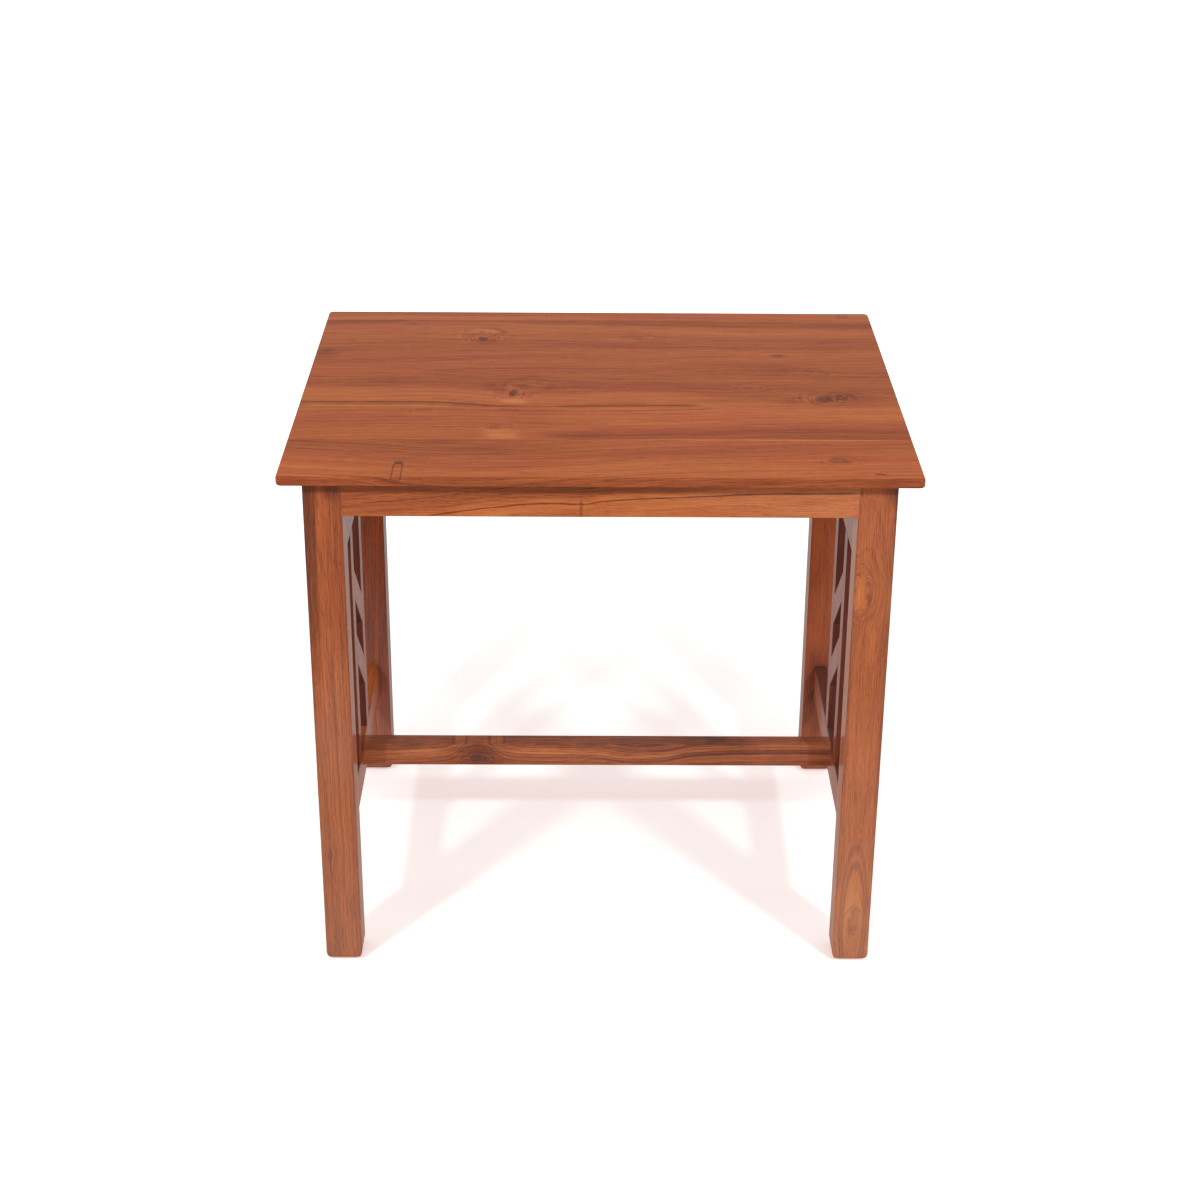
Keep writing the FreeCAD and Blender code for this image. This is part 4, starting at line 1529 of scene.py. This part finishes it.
@dataclass
class Dowels:
    """Fluted dowels between the rungs and the slats. Millimetres.

    Attributes:
        outer: Radius over the ridges.
        groove: Depth of the flutes.
        end_share: Radius of the bevelled ends, as a share.
        joint: How far the joints are from the middle.
    """

    length: float = 20.0
    outer: float = 3.0
    groove: float = 0.3
    flutes: int = 12
    bevel: float = 1.0
    end_share: float = 0.8
    joint: float = 42.0

    def build(self, finishes: Finishes) -> list[bpy.types.Object]:
        """Make the dowels of both sides.

        Args:
            finishes: The table's finishes.

        Returns:
            The pieces.
        """
        jig = Jig("fluted dowel", {
            "Outer": self.outer, "Root": self.outer - self.groove, "Length": self.length,
            "Bevel": self.bevel, "Shoulder": self.length - self.bevel, "Flutes": self.flutes})
        tree, size = jig.tree, jig.size
        ring = add(tree, "GeometryNodeCurveStar",
                   {"Points": size["Flutes"], "Inner Radius": size["Root"], "Outer Radius": size["Outer"]})
        jig.close(jig.turned([(0.0, self.end_share), (size["Bevel"], 1.0), (size["Shoulder"], 1.0),
                              (size["Length"], self.end_share)], ring))
        drop = self.joint * math.tan(RUNG_FALL)
        pieces = []
        for side in Side:
            places = [Vector((side.value * SIDE_MIDDLE, end.value * self.joint - self.length / 2,
                              height - end.value * drop)) for height in RUNG_CENTRES for end in End]
            name = side.name.lower()
            pieces.append(jig.make(f"fluted_dowels_{name}", places, ALONG_Y, finishes.beech, "hidden_wood",
                                   [f"rung_dowels_{name}"]))
        return pieces


@dataclass
class Glides:
    """Nail-on glides under the feet. Millimetres.

    The dimple, the nail, its head and its tip are given by their radius.

    Attributes:
        rim: Height and inset of the pad's rounded edge, from the floor up.
        dimple_start: Where the tool that cuts the dimple starts, below the pad.
        nail_crown: Radius of the head's lowest face, as a share of the head's.
        nail_rise: How high that face is above the floor, and the head's edge above it.
        nail_waist: Height of the step from the head to the shank.
        nail_point: Length of the point.
    """

    leg_y: float = 275.0
    radius: float = 13.0
    thick: float = 2.0
    rim: tuple[tuple[float, float], ...] = ((0.0, 1.6), (0.1, 0.9), (0.35, 0.4), (0.8, 0.1), (1.2, 0.0))
    dimple: float = 4.0
    dimple_start: float = -0.5
    dimple_deep: float = 0.6
    nail: float = 1.3
    nail_head: float = 3.2
    nail_crown: float = 0.7
    nail_rise: float = 0.15
    nail_waist: float = 0.02
    nail_length: float = 17.0
    nail_point: float = 2.5
    nail_tip: float = 0.2

    def build(self, finishes: Finishes) -> list[bpy.types.Object]:
        """Make the moulded pads and the nails that hold them.

        Args:
            finishes: The table's finishes.

        Returns:
            The pieces.
        """
        feet = [(side, end) for side in Side for end in End]
        places = [Vector((side.value * SIDE_MIDDLE, end.value * self.leg_y, 0.0)) for side, end in feet]
        nodes = [f"foot_glide_{end.name.lower()}_{side.name.lower()}" for side, end in feet]
        return [
            self._pad().make("glide_pads", places, ALONG_Z, finishes.nylon, "glide_plastic", nodes),
            self._nail().make("glide_nails", places, ALONG_Z, finishes.steel, "screw_steel", []),
        ]

    def _pad(self) -> Jig:
        """Build the tree for a round pad with a rounded rim and a dimple for the nail's head.

        Returns:
            The tree.
        """
        jig = Jig("nylon pad", {"Radius": self.radius, "Thick": self.thick, "Dimple": self.dimple,
                                "Dimple Deep": self.dimple_deep, "Facets": 48})
        tree, size = jig.tree, jig.size
        ring = add(tree, "GeometryNodeCurvePrimitiveCircle", {"Resolution": size["Facets"], "Radius": 1.0})
        rim = []
        for height, inset in self.rim:
            edge = add(tree, MATH, (size["Radius"], inset * MM), "SUBTRACT")
            rim.append((height * MM, edge))
        pad = jig.turned([*rim, (size["Thick"], size["Radius"])], ring)
        bite = jig.turned([(self.dimple_start * MM, size["Dimple"]),
                           (size["Dimple Deep"], size["Dimple"])], ring)
        jig.close(jig.cut(pad, bite))
        return jig

    def _nail(self) -> Jig:
        """Build the tree for the nail, its domed head at the bottom.

        Returns:
            The tree.
        """
        jig = Jig("glide nail", {
            "Shank": self.nail, "Head": self.nail_head, "Head Low": self.nail_rise,
            "Head High": self.dimple_deep, "Length": self.nail_length,
            "Point Start": self.nail_length - self.nail_point, "Tip": self.nail_tip, "Facets": 24})
        tree, size = jig.tree, jig.size
        ring = add(tree, "GeometryNodeCurvePrimitiveCircle", {"Resolution": size["Facets"], "Radius": 1.0})
        crown = add(tree, MATH, (size["Head"], self.nail_crown), "MULTIPLY")
        waist = add(tree, MATH, (size["Head High"], self.nail_waist * MM), "ADD")
        low = add(tree, MATH, (size["Head Low"], self.nail_rise * MM), "ADD")
        jig.close(jig.turned([(size["Head Low"], crown), (low, size["Head"]),
                              (size["Head High"], size["Head"]), (waist, size["Shank"]),
                              (size["Point Start"], size["Shank"]), (size["Length"], size["Tip"])], ring))
        return jig


@dataclass
class Studio:
    """A white floor, two bare lamps low at the front and the photograph's camera. Metres.

    The lamps stand where the photographed shadows point: those of the stretcher, the bottom
    rails and the front legs on the floor, and that of the top's edge on the apron.

    Attributes:
        eye: The camera's place.
        pitch: How far it looks down, in degrees.
        yaw: How far it looks to the right, in degrees.
        roll: How far it leans, in degrees.
        lens: Its focal length, in millimetres.
        sensor: Its sensor's width, in millimetres.
        floor_half: Half the floor's side.
        floor_level: The floor's height, just under the feet.
        floor_colour: The floor as the table sees it.
        shadow_glow: What the floor near the table shows by itself, even in full shadow.
        shadow_paint: The floor that the shadows fall on, as the camera sees it.
        glow_near: How far from the table's middle the shown floor starts to turn white.
        glow_far: How far from it the floor is white.
        fill: The room's light from the horizon and below.
        overhead: The room's light from above.
        lamp: Place of the right lamp; the left one mirrors it.
        lamp_power: Power of each lamp, in watts.
        lamp_size: Its diameter.
        lamp_target: What both lamps point at.
    """

    eye: Vector = field(default_factory=lambda: Vector((-0.0190, -3.0171, 1.8576)))
    pitch: float = 25.325
    yaw: float = 0.408
    roll: float = -0.395
    lens: float = 67.90
    sensor: float = 36.0
    floor_half: float = 30.0
    floor_level: float = -0.0002
    floor_colour: str = "#e2dfdc"
    shadow_glow: tuple[float, ...] = (0.55, 0.275, 0.26, 1.0)
    shadow_paint: tuple[float, ...] = (0.65, 1.0, 1.0, 1.0)
    glow_near: float = 0.9
    glow_far: float = 2.2
    fill: float = 0.46
    overhead: float = 0.98
    lamp: Vector = field(default_factory=lambda: Vector((1.04, -1.27, 1.365)))
    lamp_power: float = 10.5
    lamp_size: float = 0.12
    lamp_target: Vector = field(default_factory=lambda: Vector((0.0, 0.0, 0.45)))

    def build(self) -> None:
        """Make the floor, the world, the lamps and the camera."""
        self._floor()
        self._world()
        for side in Side:
            self._lamp(side)
        self._camera()
        bpy.context.scene.view_settings.view_transform = "Standard"

    def _floor(self) -> None:
        """Lay a pale floor that shows the table's faint shadow and is plain white further out.

        It is clear from below, so that the underside of the table can be looked at.
        """
        half = self.floor_half
        corners = [(-half, -half), (half, -half), (half, half), (-half, half)]
        mesh = bpy.data.meshes.new("floor")
        mesh.from_pydata([(x, y, self.floor_level) for x, y in corners], [], [(0, 1, 2, 3)])
        floor = stand("floor", mesh)
        paint = bpy.data.materials.new("white floor")
        tree = blank(paint)
        where = add(tree, TEXTURE_PLACE).outputs["Object"]
        away = add(tree, VECTORS, (where,), "LENGTH").outputs["Value"]
        reach = {"From Min": self.glow_near, "From Max": self.glow_far}
        far = add(tree, RANGE, {"Value": away, **reach}, **SMOOTH)
        tint = add(tree, MIX, {0: far, 6: self.shadow_glow, 7: WHITE}, **COLOURS).outputs[2]
        faint = add(tree, "ShaderNodeBsdfDiffuse", {"Color": self.shadow_paint})
        glow = add(tree, "ShaderNodeEmission", {"Color": tint})
        bright = add(tree, "ShaderNodeAddShader", (faint, glow))
        plain = add(tree, "ShaderNodeBsdfDiffuse", {"Color": linear(self.floor_colour)})
        mixed = add(tree, "ShaderNodeMixShader", (self._seen(tree), plain, bright))
        below = add(tree, "ShaderNodeNewGeometry").outputs["Backfacing"]
        clear = add(tree, "ShaderNodeBsdfTransparent")
        mixed = add(tree, "ShaderNodeMixShader", (below, mixed, clear))
        add(tree, "ShaderNodeOutputMaterial", {"Surface": mixed})
        mesh.materials.append(paint)

    def _seen(self, tree: Tree) -> Node:
        """Tell rays that show the background from rays that light the object.

        Args:
            tree: A material's or the world's node tree.

        Returns:
            A node that is 1 for camera, glossy and transmission rays.
        """
        path = add(tree, "ShaderNodeLightPath").outputs
        shown = add(tree, MATH, (path["Is Camera Ray"], path["Is Glossy Ray"]), "MAXIMUM")
        return add(tree, MATH, (shown, path["Is Transmission Ray"]), "MAXIMUM")

    def _world(self) -> None:
        """Fill the room with soft even light and a white background."""
        world = bpy.data.worlds.new("studio")
        bpy.context.scene.world = world
        tree = blank(world)
        way = add(tree, TEXTURE_PLACE).outputs["Generated"]
        rise = add(tree, SPLIT, (way,)).outputs["Z"]
        light = add(tree, RANGE, {"Value": rise, "To Min": self.fill, "To Max": self.overhead})
        strength = add(tree, MIX, {0: self._seen(tree), 2: light, 3: 1.0})
        background = add(tree, "ShaderNodeBackground", {"Color": WHITE, "Strength": strength})
        add(tree, "ShaderNodeOutputWorld", {"Surface": background})

    def _lamp(self, side: Side) -> None:
        """Stand one lamp in front of the table.

        Args:
            side: The side it stands on.
        """
        light = bpy.data.lights.new("lamp", "AREA")
        light.shape = "DISK"
        light.size = self.lamp_size
        light.energy = self.lamp_power
        lamp = stand("lamp", light)
        lamp.location = (side.value * self.lamp.x, self.lamp.y, self.lamp.z)
        lamp.rotation_euler = (self.lamp_target - lamp.location).to_track_quat("-Z", "Y").to_euler()

    def _camera(self) -> None:
        """Set up the photograph's camera."""
        pitch, yaw, roll = (math.radians(angle) for angle in (self.pitch, self.yaw, self.roll))
        flat = math.cos(pitch)
        forward = Vector((math.sin(yaw) * flat, math.cos(yaw) * flat, -math.sin(pitch)))
        level = Vector((math.cos(yaw), -math.sin(yaw), 0.0))
        down = forward.cross(level)
        right = math.cos(roll) * level + math.sin(roll) * down
        up = math.sin(roll) * level - math.cos(roll) * down
        data = bpy.data.cameras.new("camera")
        data.lens = self.lens
        data.sensor_width = self.sensor
        camera = stand("camera", data)
        turn = Matrix((right, up, -forward)).transposed()
        camera.matrix_world = Matrix.Translation(self.eye) @ turn.to_4x4()
        bpy.context.scene.camera = camera


def main() -> None:
    """Build the table's looks and the studio."""
    logging.basicConfig(level=logging.INFO, format="%(message)s")
    finishes = Finishes()
    for part in (TableTop(), Underframe()):
        for node in part.dress(finishes.grain):
            LOG.info("%s: dressed", node)
    for part in (Lattice(), Screws(), Dowels(), Glides()):
        for piece in part.build(finishes):
            LOG.info("%s: %d faces", piece.name, len(piece.data.polygons))
    Studio().build()


if __name__ == "__main__":
    main()
